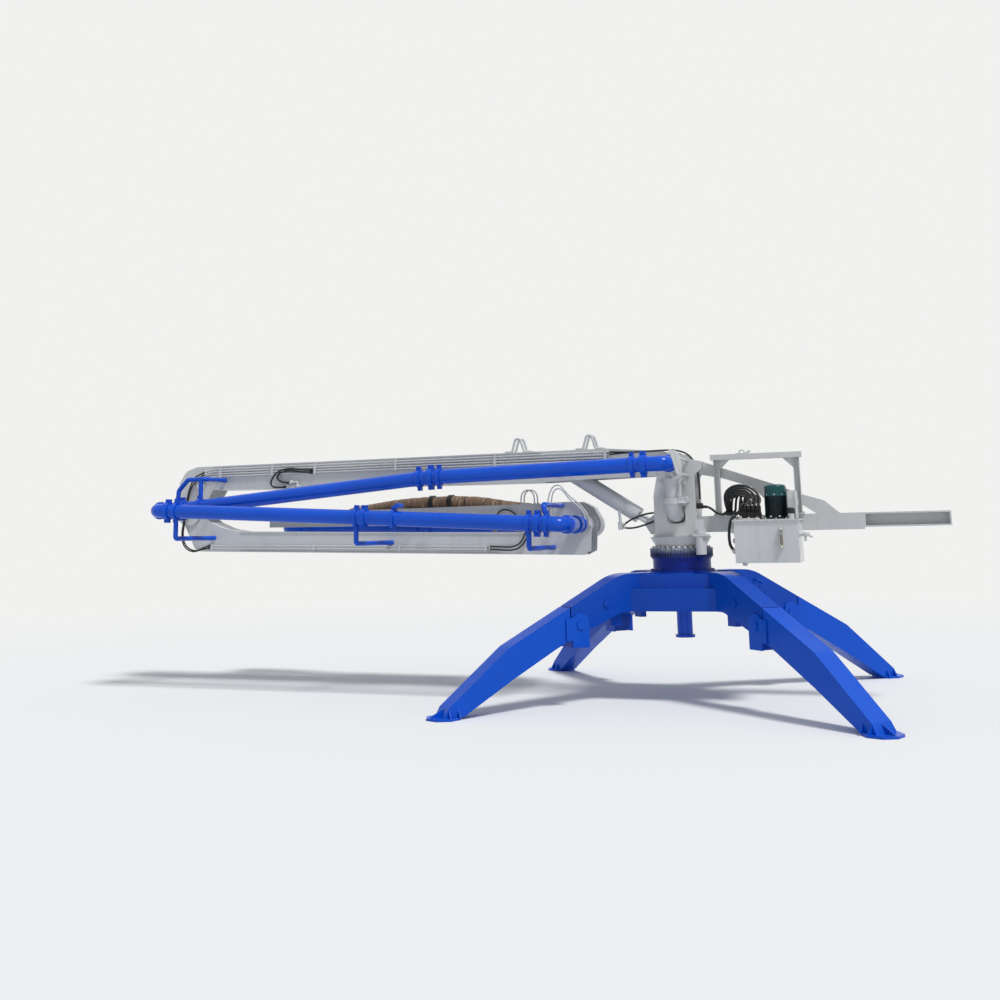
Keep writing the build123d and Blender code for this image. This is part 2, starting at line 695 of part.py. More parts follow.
head_1_profile = [(box_1_left, boom_1_top_z), (-5210, boom_1_top_z), (-5345, 2220), (-5425, 2100),
                  (-5455, 1900), (-5455, knuckle_1_z), (-5145, knuckle_1_z), (box_1_left, 2008)]
with BuildPart() as boom_1_head:
    for y in (-boom_1_width / 2, boom_1_width / 2 - boom_plate):
        with BuildSketch(side(y + boom_plate)):
            with BuildLine():
                Polyline(*head_1_profile, close=True)
            make_face()
            round_at(-5345, 2220, 130)
            round_at(-5425, 2100, 130)
            with Locations((knuckle_1_x, knuckle_1_z)):
                Circle(155)
                Circle(knuckle_1_radius, mode=Mode.SUBTRACT)
        extrude(amount=boom_plate)
    with BuildSketch(side(0)):
        with BuildLine():
            Polyline((box_1_left, boom_1_top_z), (-5210, boom_1_top_z),
                     (-5210, boom_1_top_z - boom_plate), (box_1_left, boom_1_top_z - boom_plate),
                     close=True)
        make_face()
    extrude(amount=boom_1_width / 2 - boom_plate, both=True)
save(boom_1_head.part, "boom_1_head")

with BuildPart() as knuckle_1_pin:
    with BuildSketch(side(0)):
        with Locations((knuckle_1_x, knuckle_1_z)):
            Circle(knuckle_1_radius)
    extrude(amount=boom_1_width / 2, both=True)
    for y in (-boom_1_width / 2, boom_1_width / 2 + pin_cap):
        with BuildSketch(side(y)):
            with Locations((knuckle_1_x, knuckle_1_z)):
                Circle(knuckle_1_radius + 15)
        extrude(amount=pin_cap)
save(knuckle_1_pin.part, "knuckle_1_pin")

# Lifting eyes on section 1: two bent bars over each of two places
eye_bar = 24.0
eye_points = [(-135, 12), (-62, 12), (-24, 140), (24, 140), (62, 12), (135, 12)]
with BuildPart() as lifting_eyes:
    for x in (-1560, -835):
        for y in (-55, 55):
            with BuildLine(side(y, x, boom_1_top_z)):
                FilletPolyline(*eye_points, radius=22)
            with BuildSketch(Plane(origin=place(x - 135, y, boom_1_top_z + 12), z_dir=(1, 0, 0))):
                Circle(eye_bar / 2)
            sweep()
save(lifting_eyes.part, "lifting_eyes")

# Hydraulic tubes on the near face of section 1, with their clamps
line_od = 16.0
line_pitch = 26.0
line_stand = 14.0
boom_1_lines = [(-4905, -640), 4, 2150.0, (-4900, -4270, -3760, -2840, -1770, -655)]
boom_2_lines = [(-5010, -1880), 2, 1395.0, (-5000, -3780, -2810, -1890)]


def tube_bank(span, count, low_z, clamps, face_y, slope):
    """Parallel tubes along a boom's near face, held by clamp blocks; slope is rise per length."""
    with BuildPart() as bank:
        for index in range(count):
            z = low_z + index * line_pitch
            start = place(span[0], face_y - line_stand, z)
            run = (1, 0, slope)
            with BuildSketch(Plane(origin=start, z_dir=run)):
                Circle(line_od / 2)
            extrude(amount=(span[1] - span[0]) * hypot(1, slope))
        for x in clamps:
            mid_z = low_z + (count - 1) * line_pitch / 2 + slope * (x - span[0])
            with BuildSketch(side(face_y, x, mid_z)):
                Rectangle(30, count * line_pitch + 6)
            extrude(amount=line_stand + line_od / 2 + 4)
    return bank.part


save(tube_bank(*boom_1_lines, -boom_1_width / 2, 0.0), "boom_1_tubes")

# Lift cylinder between the boom foot and the turret lugs
lift_dx = lug_pin_x - boom_lift_pin_x
lift_dz = lug_pin_z - boom_lift_pin_z
lift_length = hypot(lift_dx, lift_dz)
lift_dir = (lift_dx / lift_length, 0, lift_dz / lift_length)
from_barrel_pin = Plane(origin=place(boom_lift_pin_x, 0, boom_lift_pin_z), x_dir=(0, 1, 0), z_dir=lift_dir)
rod_inner_end = 98.0
with BuildPart() as lift_barrel:
    with BuildSketch(from_barrel_pin.offset(70)):
        Circle(barrel_od / 2)
    extrude(amount=barrel_nose - 70)
    with BuildSketch(side(0)):
        with Locations((boom_lift_pin_x, boom_lift_pin_z)):
            Circle(barrel_eye_radius)
    extrude(amount=lift_eye_half, both=True)
    with BuildSketch(from_barrel_pin):
        Rectangle(2 * lift_eye_half, 2 * barrel_eye_radius)
    extrude(amount=75)
    with BuildSketch(side(0)):
        with Locations((boom_lift_pin_x, boom_lift_pin_z)):
            Circle(lift_pin_radius + pin_play)
    extrude(amount=barrel_od, both=True, mode=Mode.SUBTRACT)
    with BuildSketch(from_barrel_pin.offset(rod_inner_end - 2)):
        Circle(rod_od / 2 + pin_play)
    extrude(amount=barrel_nose, mode=Mode.SUBTRACT)
save(lift_barrel.part, "lift_cylinder_barrel")

with BuildPart() as lift_rod:
    with BuildSketch(from_barrel_pin.offset(rod_inner_end)):
        Circle(rod_od / 2)
    extrude(amount=lift_length - rod_inner_end - 15)
    with BuildSketch(side(0)):
        with Locations((lug_pin_x, lug_pin_z)):
            Circle(rod_eye_radius)
    extrude(amount=lift_eye_half, both=True)
    with BuildSketch(side(0)):
        with Locations((lug_pin_x, lug_pin_z)):
            Circle(lift_pin_radius + pin_play)
    extrude(amount=barrel_od, both=True, mode=Mode.SUBTRACT)
save(lift_rod.part, "lift_cylinder_rod")

# Delivery pipe of section 1, along its near side
pipe_1_start = (foot_pin_x, joint_1_y - 0.5, foot_pin_z)
pipe_1_a = (foot_pin_x, pipe_1_y, foot_pin_z)
pipe_1_b = (-2340.0, pipe_1_y, 2032.0)
pipe_1_c = (knuckle_1_x, pipe_1_y, knuckle_1_z)
pipe_1_end = (knuckle_1_x, joint_2_y + 0.5, knuckle_1_z)
couplings_1 = ((pipe_1_a, pipe_1_b, -215), (pipe_1_a, pipe_1_b, -2300), (pipe_1_b, pipe_1_c, -5116))
with BuildPart() as boom_1_pipe:
    add(pipe_run([pipe_1_start, pipe_1_a, pipe_1_b, pipe_1_c, pipe_1_end]))
    add(swivel_collar(knuckle_1_x, joint_2_y, knuckle_1_z, True))
    for start, end, x in couplings_1:
        add(band(across(start, end, x), wall_mid, collar_od / 2, collar_width))
save(boom_1_pipe.part, "boom_1_pipe")

# Delivery pipe of section 2, which crosses through the second knuckle's hollow pin
pipe_2_start = (knuckle_1_x, joint_2_y - 0.5, knuckle_1_z)
pipe_2_a = (knuckle_1_x, pipe_2_y, knuckle_1_z)
pipe_2_b = (knuckle_2_x, pipe_2_y, knuckle_2_z)
pipe_2_end = (knuckle_2_x, joint_3_y - 0.5, knuckle_2_z)
with BuildPart() as boom_2_pipe:
    add(pipe_run([pipe_2_start, pipe_2_a, pipe_2_b, pipe_2_end]))
    add(swivel_collar(knuckle_2_x, joint_3_y, knuckle_2_z, False))
    for x in (-5130, -2900, -1160):
        add(band(across(pipe_2_a, pipe_2_b, x), wall_mid, collar_od / 2, collar_width))
save(boom_2_pipe.part, "boom_2_pipe")

# Delivery pipe of section 3, on the far side, with the turn back at the boom tip
tip_x = -4480.0
tip_z = 1595.0
tip_turn = 2 * bend_radius
pipe_3_start = (knuckle_2_x, joint_3_y + 0.5, knuckle_2_z)
pipe_3_a = (knuckle_2_x, pipe_3_y, knuckle_2_z)
pipe_3_b = (tip_x, pipe_3_y, tip_z)
pipe_3_c = (tip_x, pipe_3_y + tip_turn + 2, tip_z)
pipe_3_end = (tip_x + bend_radius + 60, pipe_3_y + tip_turn + 2, tip_z)
with BuildPart() as boom_3_pipe:
    add(pipe_run([pipe_3_start, pipe_3_a, pipe_3_b, pipe_3_c, pipe_3_end]))
    for x in (-1150, -2900, -4300):
        add(band(across(pipe_3_a, pipe_3_b, x), wall_mid, collar_od / 2, collar_width))
save(boom_3_pipe.part, "boom_3_pipe")


def rod(points, od, radius):
    """A solid bent bar through points given from the slew axis."""
    with BuildPart() as bar:
        with BuildLine():
            if len(points) > 2:
                FilletPolyline(*[place(*p) for p in points], radius=radius)
            else:
                Polyline(*[place(*p) for p in points])
        start = Vector(*place(*points[0]))
        ahead = Vector(*place(*points[1])) - start
        with BuildSketch(Plane(origin=start, z_dir=ahead)):
            Circle(od / 2)
        sweep()
    return bar.part


def height_at(start, end, x):
    """Height of the line from start to end where it passes x."""
    return start[2] + (x - start[0]) * (end[2] - start[2]) / (end[0] - start[0])


# Brackets of pipe 1 on section 1: a clamp band and a bent arm to the boom's near face
arm_od = 48.0
clamp_od = pipe_od + 34
clamp_width = 40.0
clamp_in = pipe_r + 9
face_1_y = -boom_1_width / 2
face_2_y = -boom_2_width / 2
straight_arms = ((pipe_1_a, pipe_1_b, -320), (pipe_1_a, pipe_1_b, -2215), (pipe_1_b, pipe_1_c, -2425))
end_clamps = [(x, height_at(pipe_1_b, pipe_1_c, x)) for x in (-5184, -4905)]
long_arm = [(-5184, pipe_1_y, end_clamps[0][1] + clamp_in), (-5174, pipe_1_y, 1995),
            (-5065, pipe_1_y, 2105), (-4852, pipe_1_y, 2105), (-4852, face_1_y, 2105)]
with BuildPart() as pipe_1_brackets:
    for start, end, x in straight_arms:
        z = height_at(start, end, x)
        add(band(across(start, end, x), pipe_hole, clamp_od / 2, clamp_width))
        add(rod([(x, pipe_1_y + clamp_in, z), (x, face_1_y, z)], arm_od, 0))
    for x, z in end_clamps:
        add(band(across(pipe_1_b, pipe_1_c, x), pipe_hole, clamp_od / 2, clamp_width))
    add(rod(long_arm, arm_od, 45))
    add(rod([(-4905, pipe_1_y, end_clamps[1][1] + clamp_in), (-4905, pipe_1_y, 2105)], arm_od, 0))
save(pipe_1_brackets.part, "pipe_1_brackets")

# Boom section 2: root plates between the head plates of section 1, box, forked head
root_2_profile = [(-5415, knuckle_1_z), (-5388, 1690), (-5230, 1400), (-5180, 1362), (-4660, 1350),
                  (-4660, 1562), (-4850, 1590), (-5050, 1670), (-5185, knuckle_1_z)]
with BuildPart() as boom_2_root:
    for y in (-boom_2_width / 2, boom_2_width / 2 - boom_plate):
        with BuildSketch(side(y + boom_plate)):
            with BuildLine():
                Polyline(*root_2_profile, close=True)
            make_face()
            round_at(-5388, 1690, 120)
            round_at(-5230, 1400, 40)
            round_at(-4850, 1590, 420)
            round_at(-5050, 1670, 260)
            with Locations((knuckle_1_x, knuckle_1_z)):
                Circle(115)
                Circle(knuckle_1_radius + pin_play, mode=Mode.SUBTRACT)
        extrude(amount=boom_plate)
    with BuildSketch(side(0)):
        with BuildLine():
            Polyline((-5230, 1400), (-5180, 1362), (-4660, 1350), (-4660, 1362), (-5176, 1374),
                     (-5222, 1409), close=True)
        make_face()
        with BuildLine():
            Polyline((-4660, 1562), (-4850, 1590), (-5050, 1670), (-5056, 1659), (-4854, 1578),
                     (-4660, 1550), close=True)
        make_face()
    extrude(amount=boom_2_width / 2 - boom_plate, both=True)
save(boom_2_root.part, "boom_2_root")

box_2_left = -4660.0
box_2_right = -1500.0
box_2_profile = [(box_2_left, 1562), (box_2_right, 1490), (box_2_right, 1283), (box_2_left, 1350)]
with BuildPart() as boom_2_box:
    with BuildSketch(side(0)):
        with BuildLine():
            Polyline(*box_2_profile, close=True)
        make_face()
    extrude(amount=boom_2_width / 2, both=True)
    with BuildSketch(side(0)):
        for rise in (0, 1):
            left_z, right_z = (1562, 1490) if rise else (1350, 1283)
            Polygon((box_2_left, left_z), (box_2_right, right_z), (box_2_right, right_z + (1 - 2 * rise) * 12),
                    (box_2_left, left_z + (1 - 2 * rise) * 12), align=None)
    extrude(amount=boom_2_width / 2 + flange_lip, both=True)
    with BuildSketch(side(0)):
        with BuildLine():
            Polyline(*box_2_profile, close=True)
        make_face()
        offset(amount=-boom_plate, mode=Mode.REPLACE)
    extrude(amount=boom_2_width / 2 - boom_plate, both=True, mode=Mode.SUBTRACT)
save(boom_2_box.part, "boom_2_box")

head_2_profile = [(box_2_right, 1283), (-915, 1271), (-835, 1310), (-820, 1590), (-962, 1772),
                  (-1200, 1770), (box_2_right, 1490)]
with BuildPart() as boom_2_head:
    for y in (-boom_2_width / 2, boom_2_width / 2 - boom_plate):
        with BuildSketch(side(y + boom_plate)):
            with BuildLine():
                Polyline(*head_2_profile, close=True)
            make_face()
            with Locations((knuckle_2_x, knuckle_2_z)):
                Circle(pipe_hole, mode=Mode.SUBTRACT)
        extrude(amount=boom_plate)
    with BuildSketch(side(0)):
        with BuildLine():
            Polyline((box_2_right, 1283), (-915, 1271), (-915, 1283), (box_2_right, 1295), close=True)
        make_face()
    extrude(amount=boom_2_width / 2 - boom_plate, both=True)
    # sleeve table: outer radius, near end, far end
    for radius, near, far in ((sleeve_radius, -boom_2_width / 2 - 16, sleeve_end_y),
                              (sleeve_radius + 14, boom_2_width / 2 - 1, boom_3_near_y - 6),
                              (sleeve_radius + 14, boom_3_far_y + 6, sleeve_end_y)):
        with BuildSketch(side(far)):
            with Locations((knuckle_2_x, knuckle_2_z)):
                Circle(radius)
                Circle(pipe_hole, mode=Mode.SUBTRACT)
        extrude(amount=far - near)
save(boom_2_head.part, "boom_2_head")

# Brackets of pipe 2 on section 2, hooked under the pipe to the boom's near face
# bracket table: x at the pipe, x at the boom face, height at the boom face
hooked_arms = ((-5030, -4985, 1500), (-2985, -2900, 1418), (-1245, -1200, 1345))
with BuildPart() as pipe_2_brackets:
    for x, face_x, face_z in hooked_arms:
        z = height_at(pipe_2_a, pipe_2_b, x)
        add(band(across(pipe_2_a, pipe_2_b, x), pipe_hole, clamp_od / 2, clamp_width))
        add(rod([(x, pipe_2_y, z - clamp_in), (x, pipe_2_y, face_z),
                 (face_x, face_2_y - 60, face_z), (face_x, face_2_y, face_z)], arm_od, 25))
    # upper arm at the second knuckle, and the short rest on top of the pipe
    z = height_at(pipe_2_a, pipe_2_b, -1075)
    add(band(across(pipe_2_a, pipe_2_b, -1075), pipe_hole, clamp_od / 2, clamp_width))
    add(rod([(-1075, pipe_2_y, z + clamp_in), (-1105, pipe_2_y, 1735), (-1105, face_2_y, 1735)], arm_od, 40))
    z = height_at(pipe_2_a, pipe_2_b, -2590)
    add(band(across(pipe_2_a, pipe_2_b, -2590), pipe_hole, clamp_od / 2, clamp_width))
    add(rod([(-2588, pipe_2_y, z + clamp_in + 6), (-2540, pipe_2_y - 20, z + 125)], 30, 0))
    add(rod([(-2540, pipe_2_y - 45, z + 120), (-2540, pipe_2_y + 70, z + 120)], arm_od, 0))
save(pipe_2_brackets.part, "pipe_2_brackets")

save(tube_bank(*boom_2_lines, face_2_y, -0.0185), "boom_2_tubes")

# Boom section 3, beside the first two on the far side, hinged on the sleeve
box_3_profile = [(-4500, 1600), (-1150, 1575), (-1020, 1470), (-880, 1470), (-815, 1600),
                 (-880, 1720), (-980, 1775), (-3600, 1755), (-4500, 1725)]
box_3_hollow = [(-4488, 1612), (-1160, 1588), (-1120, 1762), (-3600, 1743), (-4488, 1713)]
with BuildPart() as boom_3_box:
    with BuildSketch(side(boom_3_mid_y)):
        with BuildLine():
            Polyline(*box_3_profile, close=True)
        make_face()
        with Locations((knuckle_2_x, knuckle_2_z)):
            Circle(120)
            Circle(sleeve_radius + pin_play, mode=Mode.SUBTRACT)
    extrude(amount=boom_3_width / 2, both=True)
    with BuildSketch(side(boom_3_mid_y)):
        with BuildLine():
            Polyline(*box_3_hollow, close=True)
        make_face()
    extrude(amount=boom_3_width / 2 - boom_plate, both=True, mode=Mode.SUBTRACT)
save(boom_3_box.part, "boom_3_box")

# Brackets of pipe 3 on the far face of section 3, and the saddles under the end hose
with BuildPart() as pipe_3_brackets:
    for x in (-1350, -2750, -4150):
        z = height_at(pipe_3_a, pipe_3_b, x) + 20
        add(band(across(pipe_3_a, pipe_3_b, x), pipe_hole, clamp_od / 2, clamp_width))
        add(rod([(x, pipe_3_y - clamp_in, z), (x, boom_3_far_y, z)], arm_od, 0))
save(pipe_3_brackets.part, "pipe_3_brackets")

# End hose, lashed back along the far top edge of section 3
hose_y = boom_3_far_y + hose_od / 2 + 1
hose_start = (tip_x + bend_radius + 60.5, pipe_3_c[1], tip_z)
hose_a = (-2950.0, hose_y, 1808.0)
hose_b = (-2230.0, hose_y, 1812.0)
hose_points = [hose_start, (tip_x + 400, pipe_3_c[1], tip_z), (-3750, hose_y + 200, 1722),
               (-3400, hose_y + 90, 1760), hose_a, hose_b, (-1830, hose_y, 1736), (-1600, hose_y, 1712)]


def widest_bends(points):
    """Radius for each corner of a route, as large as its shorter run allows."""
    corners = [Vector(*p) for p in points]
    radii = []
    for before, corner, after in zip(corners, corners[1:], corners[2:]):
        turn = (corner - before).get_angle(after - corner)
        shorter = min((corner - before).length, (after - corner).length)
        radii.append(0.45 * shorter / tan(radians(turn / 2)))
    return radii


hose_radii = widest_bends(hose_points)
print("end hose radii", [round(r) for r in hose_radii])
with BuildPart() as end_hose:
    with BuildLine():
        FilletPolyline(*[place(*p) for p in hose_points], radius=hose_radii)
    with BuildSketch(Plane(origin=place(*hose_start), z_dir=(1, 0, 0))):
        Circle(hose_od / 2)
        Circle(pipe_bore / 2, mode=Mode.SUBTRACT)
    sweep()
save(end_hose.part, "end_hose")

# Saddles that hold the hose on section 3
with BuildPart() as hose_saddles:
    for x in (-2680, -2470):
        with BuildSketch(side(boom_3_far_y, x, 1726)):
            Rectangle(50, 72)
        extrude(amount=-11)
        with BuildSketch(across(hose_a, hose_b, x).offset(-25)):
            Circle(hose_od / 2 + 10)
            Circle(hose_od / 2 + pin_play, mode=Mode.SUBTRACT)
        extrude(amount=50)
save(hose_saddles.part, "hose_saddles")
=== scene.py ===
"""Studio scene of a concrete placing boom that stands on four splayed legs, folded for the yard.

Sizes are in millimetres from the slew axis, with Z up from the feet, and at() turns them to metres.
The near side, with the delivery pipes, is -Y.
"""

import math

import bpy
from mathutils import Matrix, Vector, noise


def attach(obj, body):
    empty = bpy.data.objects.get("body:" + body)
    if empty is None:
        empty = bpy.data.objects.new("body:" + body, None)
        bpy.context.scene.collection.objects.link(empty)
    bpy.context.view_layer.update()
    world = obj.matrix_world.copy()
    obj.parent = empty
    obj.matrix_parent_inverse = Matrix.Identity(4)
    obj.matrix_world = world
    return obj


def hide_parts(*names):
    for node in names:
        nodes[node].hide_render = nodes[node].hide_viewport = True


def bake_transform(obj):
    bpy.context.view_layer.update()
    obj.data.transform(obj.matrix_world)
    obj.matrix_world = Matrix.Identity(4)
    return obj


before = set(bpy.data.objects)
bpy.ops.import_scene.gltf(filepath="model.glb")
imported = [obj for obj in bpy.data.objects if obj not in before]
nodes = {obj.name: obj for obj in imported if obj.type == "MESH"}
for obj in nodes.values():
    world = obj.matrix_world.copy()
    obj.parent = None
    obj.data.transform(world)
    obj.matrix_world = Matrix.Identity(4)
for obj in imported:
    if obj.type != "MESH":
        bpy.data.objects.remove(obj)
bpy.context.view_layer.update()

scene = bpy.context.scene

SLEW_X = 1.55            # slew axis, metres along the frame's X
MM = 0.001

# Hinge axes and the planes that trim stands on, as in the solids
FOOT_PIN_Z = 2080
KNUCKLE_1 = (-5300, 1790)
KNUCKLE_2 = (-930, 1555)
RISER_Y = -270
PIPE_1_Y, PIPE_2_Y, PIPE_3_Y = -506, -742, 523
BOOM_1_FACE, BOOM_2_FACE, TURRET_FACE = -140, -118, -170
RING_TOP = 1322
FLOOR_TOP = 1444         # the turret's floor plate
TANK_LEFT, TANK_RIGHT, TANK_NEAR, TANK_FAR, TANK_BOTTOM = 565, 1110, -520, -100, 1190
LID_TOP = 1561
MOTOR = (915, -330)
MOTOR_R = 95
MOTOR_TOP = 1861
COWL_LOW = 1759          # where the motor's fan cowl begins

MIST_LOW, MIST_HIGH = 1268, 1316    # overspray on the gear's teeth, from none to full
OIL_LEVEL = 1426
LIT_PALE = "#F1F1F0"     # what the eye sees round the object
FADE_FROM, FADE_TO = 7, 15          # metres over which the floor turns into the surround


def at(x, y, z):
    """A point in metres from millimetres off the slew axis."""
    return Vector((SLEW_X + x * MM, y * MM, z * MM))


# ---------------------------------------------------------------- materials

def linear(code):
    """An sRGB hex colour as linear red, green, blue and alpha."""
    parts = [int(code[i:i + 2], 16) / 255 for i in (1, 3, 5)]
    return tuple(c / 12.92 if c <= 0.04045 else ((c + 0.055) / 1.055) ** 2.4 for c in parts) + (1.0,)


def feed(tree, node, sockets):
    """Set a node's sockets, each to a value, a hex colour or the output that feeds it."""
    for socket, value in sockets.items():
        if isinstance(value, bpy.types.NodeSocket):
            tree.links.new(value, node.inputs[socket])
        else:
            node.inputs[socket].default_value = linear(value) if isinstance(value, str) else value


def add(tree, kind, sockets, out=0, **settings):
    """Add a node with its settings and what feeds its sockets, and give back one of its outputs.

    Sockets go by name or number. A range maps 0 from 1..2 to 3..4, and a mix lays 7 over 6 by 0.
    """
    node = tree.nodes.new("ShaderNode" + kind)
    for name, value in settings.items():
        setattr(node, name, value)
    feed(tree, node, sockets)
    return node.outputs[out]


def new_material(name):
    """An empty material: its tree, its shader and the surface's own coordinates."""
    material = bpy.data.materials.new(name)
    material.use_nodes = True
    tree = material.node_tree
    return material, tree, tree.nodes["Principled BSDF"], tree.nodes.new("ShaderNodeTexCoord")


def patches(tree, place, size_mm, low=0.0, high=1.0, least=0.0, most=1.0, detail=4.0, rough=0.55):
    """Cloudy patches of a real size, or of three sizes along X, Y and Z: least below low, most above high."""
    sizes = size_mm if isinstance(size_mm, tuple) else (size_mm,) * 3
    spread = add(tree, "Mapping", {"Vector": place.outputs["Object"], "Scale": [1000 / size for size in sizes]})
    cloud = add(tree, "TexNoise", {"Vector": spread, "Scale": 1.0, "Detail": detail, "Roughness": rough})
    return add(tree, "MapRange", {0: cloud, 1: low, 2: high, 3: least, 4: most})


def layered(tree, base, *layers):
    """A colour with others laid over it in turn, each with the share of it that shows."""
    for colour, share in layers:
        base = add(tree, "Mix", {0: share, 6: base, 7: colour}, 2, data_type="RGBA")
    return base


def rounded_edges(tree, radius_mm):
    """Normal of edges as softly rounded as grinding and paint leave them, and where they lie."""
    soft = add(tree, "Bevel", {"Radius": radius_mm * MM}, samples=4)
    along = add(tree, "VectorMath", {0: soft, 1: add(tree, "NewGeometry", {}, "Normal")}, "Value",
                operation="DOT_PRODUCT")
    return soft, add(tree, "MapRange", {0: along, 1: 0.97, 2: 0.80})


def settled_dust(tree, place, amount):
    """Where dust lies: thick on faces that look up, thin on the rest, in clouds."""
    up = add(tree, "SeparateXYZ", {0: place.outputs["Normal"]}, "Z")
    lying = add(tree, "MapRange", {0: up, 1: 0.45, 2: 1.0, 3: 0.12 * amount, 4: amount})
    return patches(tree, place, 143, 0.38, 0.68, most=lying, detail=5)


def sprayed_enamel(name, coat, shade, rubbed, gloss, dust, dust_colour="#A79F92", grime=0.12, shine=0.4):
    """Enamel sprayed on welded plate: an even coat with a slight orange peel, dust on top, worn arrises."""
    material, tree, shader, place = new_material(name)
    soft, edge = rounded_edges(tree, 3.5)
    powder = settled_dust(tree, place, dust)
    # rain runs are some 60 mm apart and most of a metre long; rubbed spots are 20 mm or so
    runs = patches(tree, place, (62.5, 62.5, 909), 0.52, 0.75, most=grime, rough=0.6)
    chips = patches(tree, place, 21.7, 0.54, 0.62, most=edge, detail=5, rough=0.7)
    tone = layered(tree, coat, (shade, patches(tree, place, 714, 0.35, 0.7, most=0.55, detail=5)),
                   ("#6F6759", runs), (dust_colour, powder), (rubbed, chips))
    clean = patches(tree, place, 200, 0.3, 0.7, gloss - 0.05, gloss + 0.07)
    dusty = add(tree, "Math", {0: powder, 1: 0.5, 2: clean}, operation="MULTIPLY_ADD")
    worn = add(tree, "Math", {0: chips, 1: 0.35, 2: dusty}, operation="MULTIPLY_ADD", use_clamp=True)
    # orange peel is about 3 mm across; drawn at 9 mm so that it shows
    peel = patches(tree, place, 9.09, detail=2, rough=0.5)
    skin = add(tree, "Bump", {"Height": peel, "Distance": 0.12 * MM, "Normal": soft})
    feed(tree, shader, {
        "Base Color": tone, "Roughness": worn, "IOR": 1.5, "Specular IOR Level": shine, "Coat Weight": 0.1,
        "Coat Roughness": 0.1, "Normal": skin})
    return material


def oversprayed_teeth():
    """Blue gear rim, darkened to a navy that is painted shade under the turret, whose upper half caught the mist of
    the pale paint sprayed above it: powdery and dull.
    """
    material, tree, shader, place = new_material("blue_gear_with_pale_overspray")
    soft, edge = rounded_edges(tree, 2.5)
    height = add(tree, "SeparateXYZ", {0: place.outputs["Object"]}, "Z")
    # mist settles in spots of 25 mm or so, with a grain that is drawn at 7 mm so that it shows
    upper = add(tree, "MapRange", {0: height, 1: MIST_LOW * MM, 2: MIST_HIGH * MM})
    mist = patches(tree, place, 26.3, 0.3, 0.62, most=upper, detail=5, rough=0.7)
    grease = patches(tree, place, 33.3, 0.45, 0.6, most=edge)
    # Dark navy base: painted shade of the turret over the gear's blue; the pale mist is real overspray
    tone = layered(tree, "#08276F", ("#051A4C", patches(tree, place, 125, 0.4, 0.7)), ("#B2B8BE", mist),
                   ("#20242A", grease))
    grain = patches(tree, place, 7.14, detail=3)
    feed(tree, shader, {
        "Base Color": tone, "Roughness": add(tree, "MapRange", {0: mist, 3: 0.36, 4: 0.62}),
        "Normal": add(tree, "Bump", {"Height": grain, "Distance": 0.15 * MM, "Normal": soft})})
    return material


def motor_enamel():
    """Dark green enamel, dull on the ribbed casting, and a lighter, glossier teal on the pressed fan cowl."""
    material, tree, shader, place = new_material("dark_green_motor_enamel_teal_cowl")
    soft, edge = rounded_edges(tree, 2.0)
    height = add(tree, "SeparateXYZ", {0: place.outputs["Object"]}, "Z")
    cowl = add(tree, "MapRange", {0: height, 1: (COWL_LOW - 1) * MM, 2: (COWL_LOW + 1) * MM})
    body = layered(tree, "#06242A", ("#04171C", patches(tree, place, 167, 0.4, 0.7)))
    cap = layered(tree, "#144C4E", ("#0F3D42", patches(tree, place, 111, 0.4, 0.7)))
    tone = layered(tree, body, (cap, cowl), ("#8E9A92", settled_dust(tree, place, 0.15)),
                   ("#5C6B66", patches(tree, place, 16.7, 0.5, 0.62, most=edge)))
    grain = patches(tree, place, 6.25, detail=3)
    feed(tree, shader, {
        "Base Color": tone, "Roughness": add(tree, "MapRange", {0: cowl, 3: 0.42, 4: 0.27}),
        "Specular IOR Level": 0.2, "Coat Weight": 0.1, "Coat Roughness": 0.15,
        "Normal": add(tree, "Bump", {"Height": grain, "Distance": 0.15 * MM, "Normal": soft})})
    return material


def bare_metal(name, bright, dull, rough, grain_mm):
    """Metal without paint: bright, unevenly polished, with dull patches where oil has dried."""
    material, tree, shader, place = new_material(name)
    soft, edge = rounded_edges(tree, 1.2)
    grain = patches(tree, place, grain_mm, detail=3, rough=0.6)
    tone = layered(tree, bright, (dull, patches(tree, place, 41.7, 0.42, 0.7, detail=5)), (bright, edge))
    feed(tree, shader, {
        "Base Color": tone, "Metallic": 1.0,
        "Roughness": add(tree, "MapRange", {0: grain, 1: 0.35, 2: 0.65, 3: rough - 0.06, 4: rough + 0.1}),
        "Normal": add(tree, "Bump", {"Height": grain, "Distance": 0.03 * MM, "Normal": soft})})
    return material


def hose_rubber():
    """Black synthetic rubber over wire braid: matt, greying with dust, with a cloth-marked skin."""
    material, tree, shader, place = new_material("black_braided_hose_rubber")
    tone = layered(tree, "#0E0F10", ("#1D1E20", patches(tree, place, 71.4, 0.4, 0.7)),
                   ("#5B5852", settled_dust(tree, place, 0.3)))
    # cloth marks are about 1 mm; drawn at 3 mm so that they show
    marks = patches(tree, place, 3.03, detail=2)
    feed(tree, shader, {
        "Base Color": tone, "Roughness": patches(tree, place, 33.3, 0.3, 0.7, 0.5, 0.68), "IOR": 1.52,
        "Normal": add(tree, "Bump", {"Height": marks, "Distance": 0.15 * MM})})
    return material


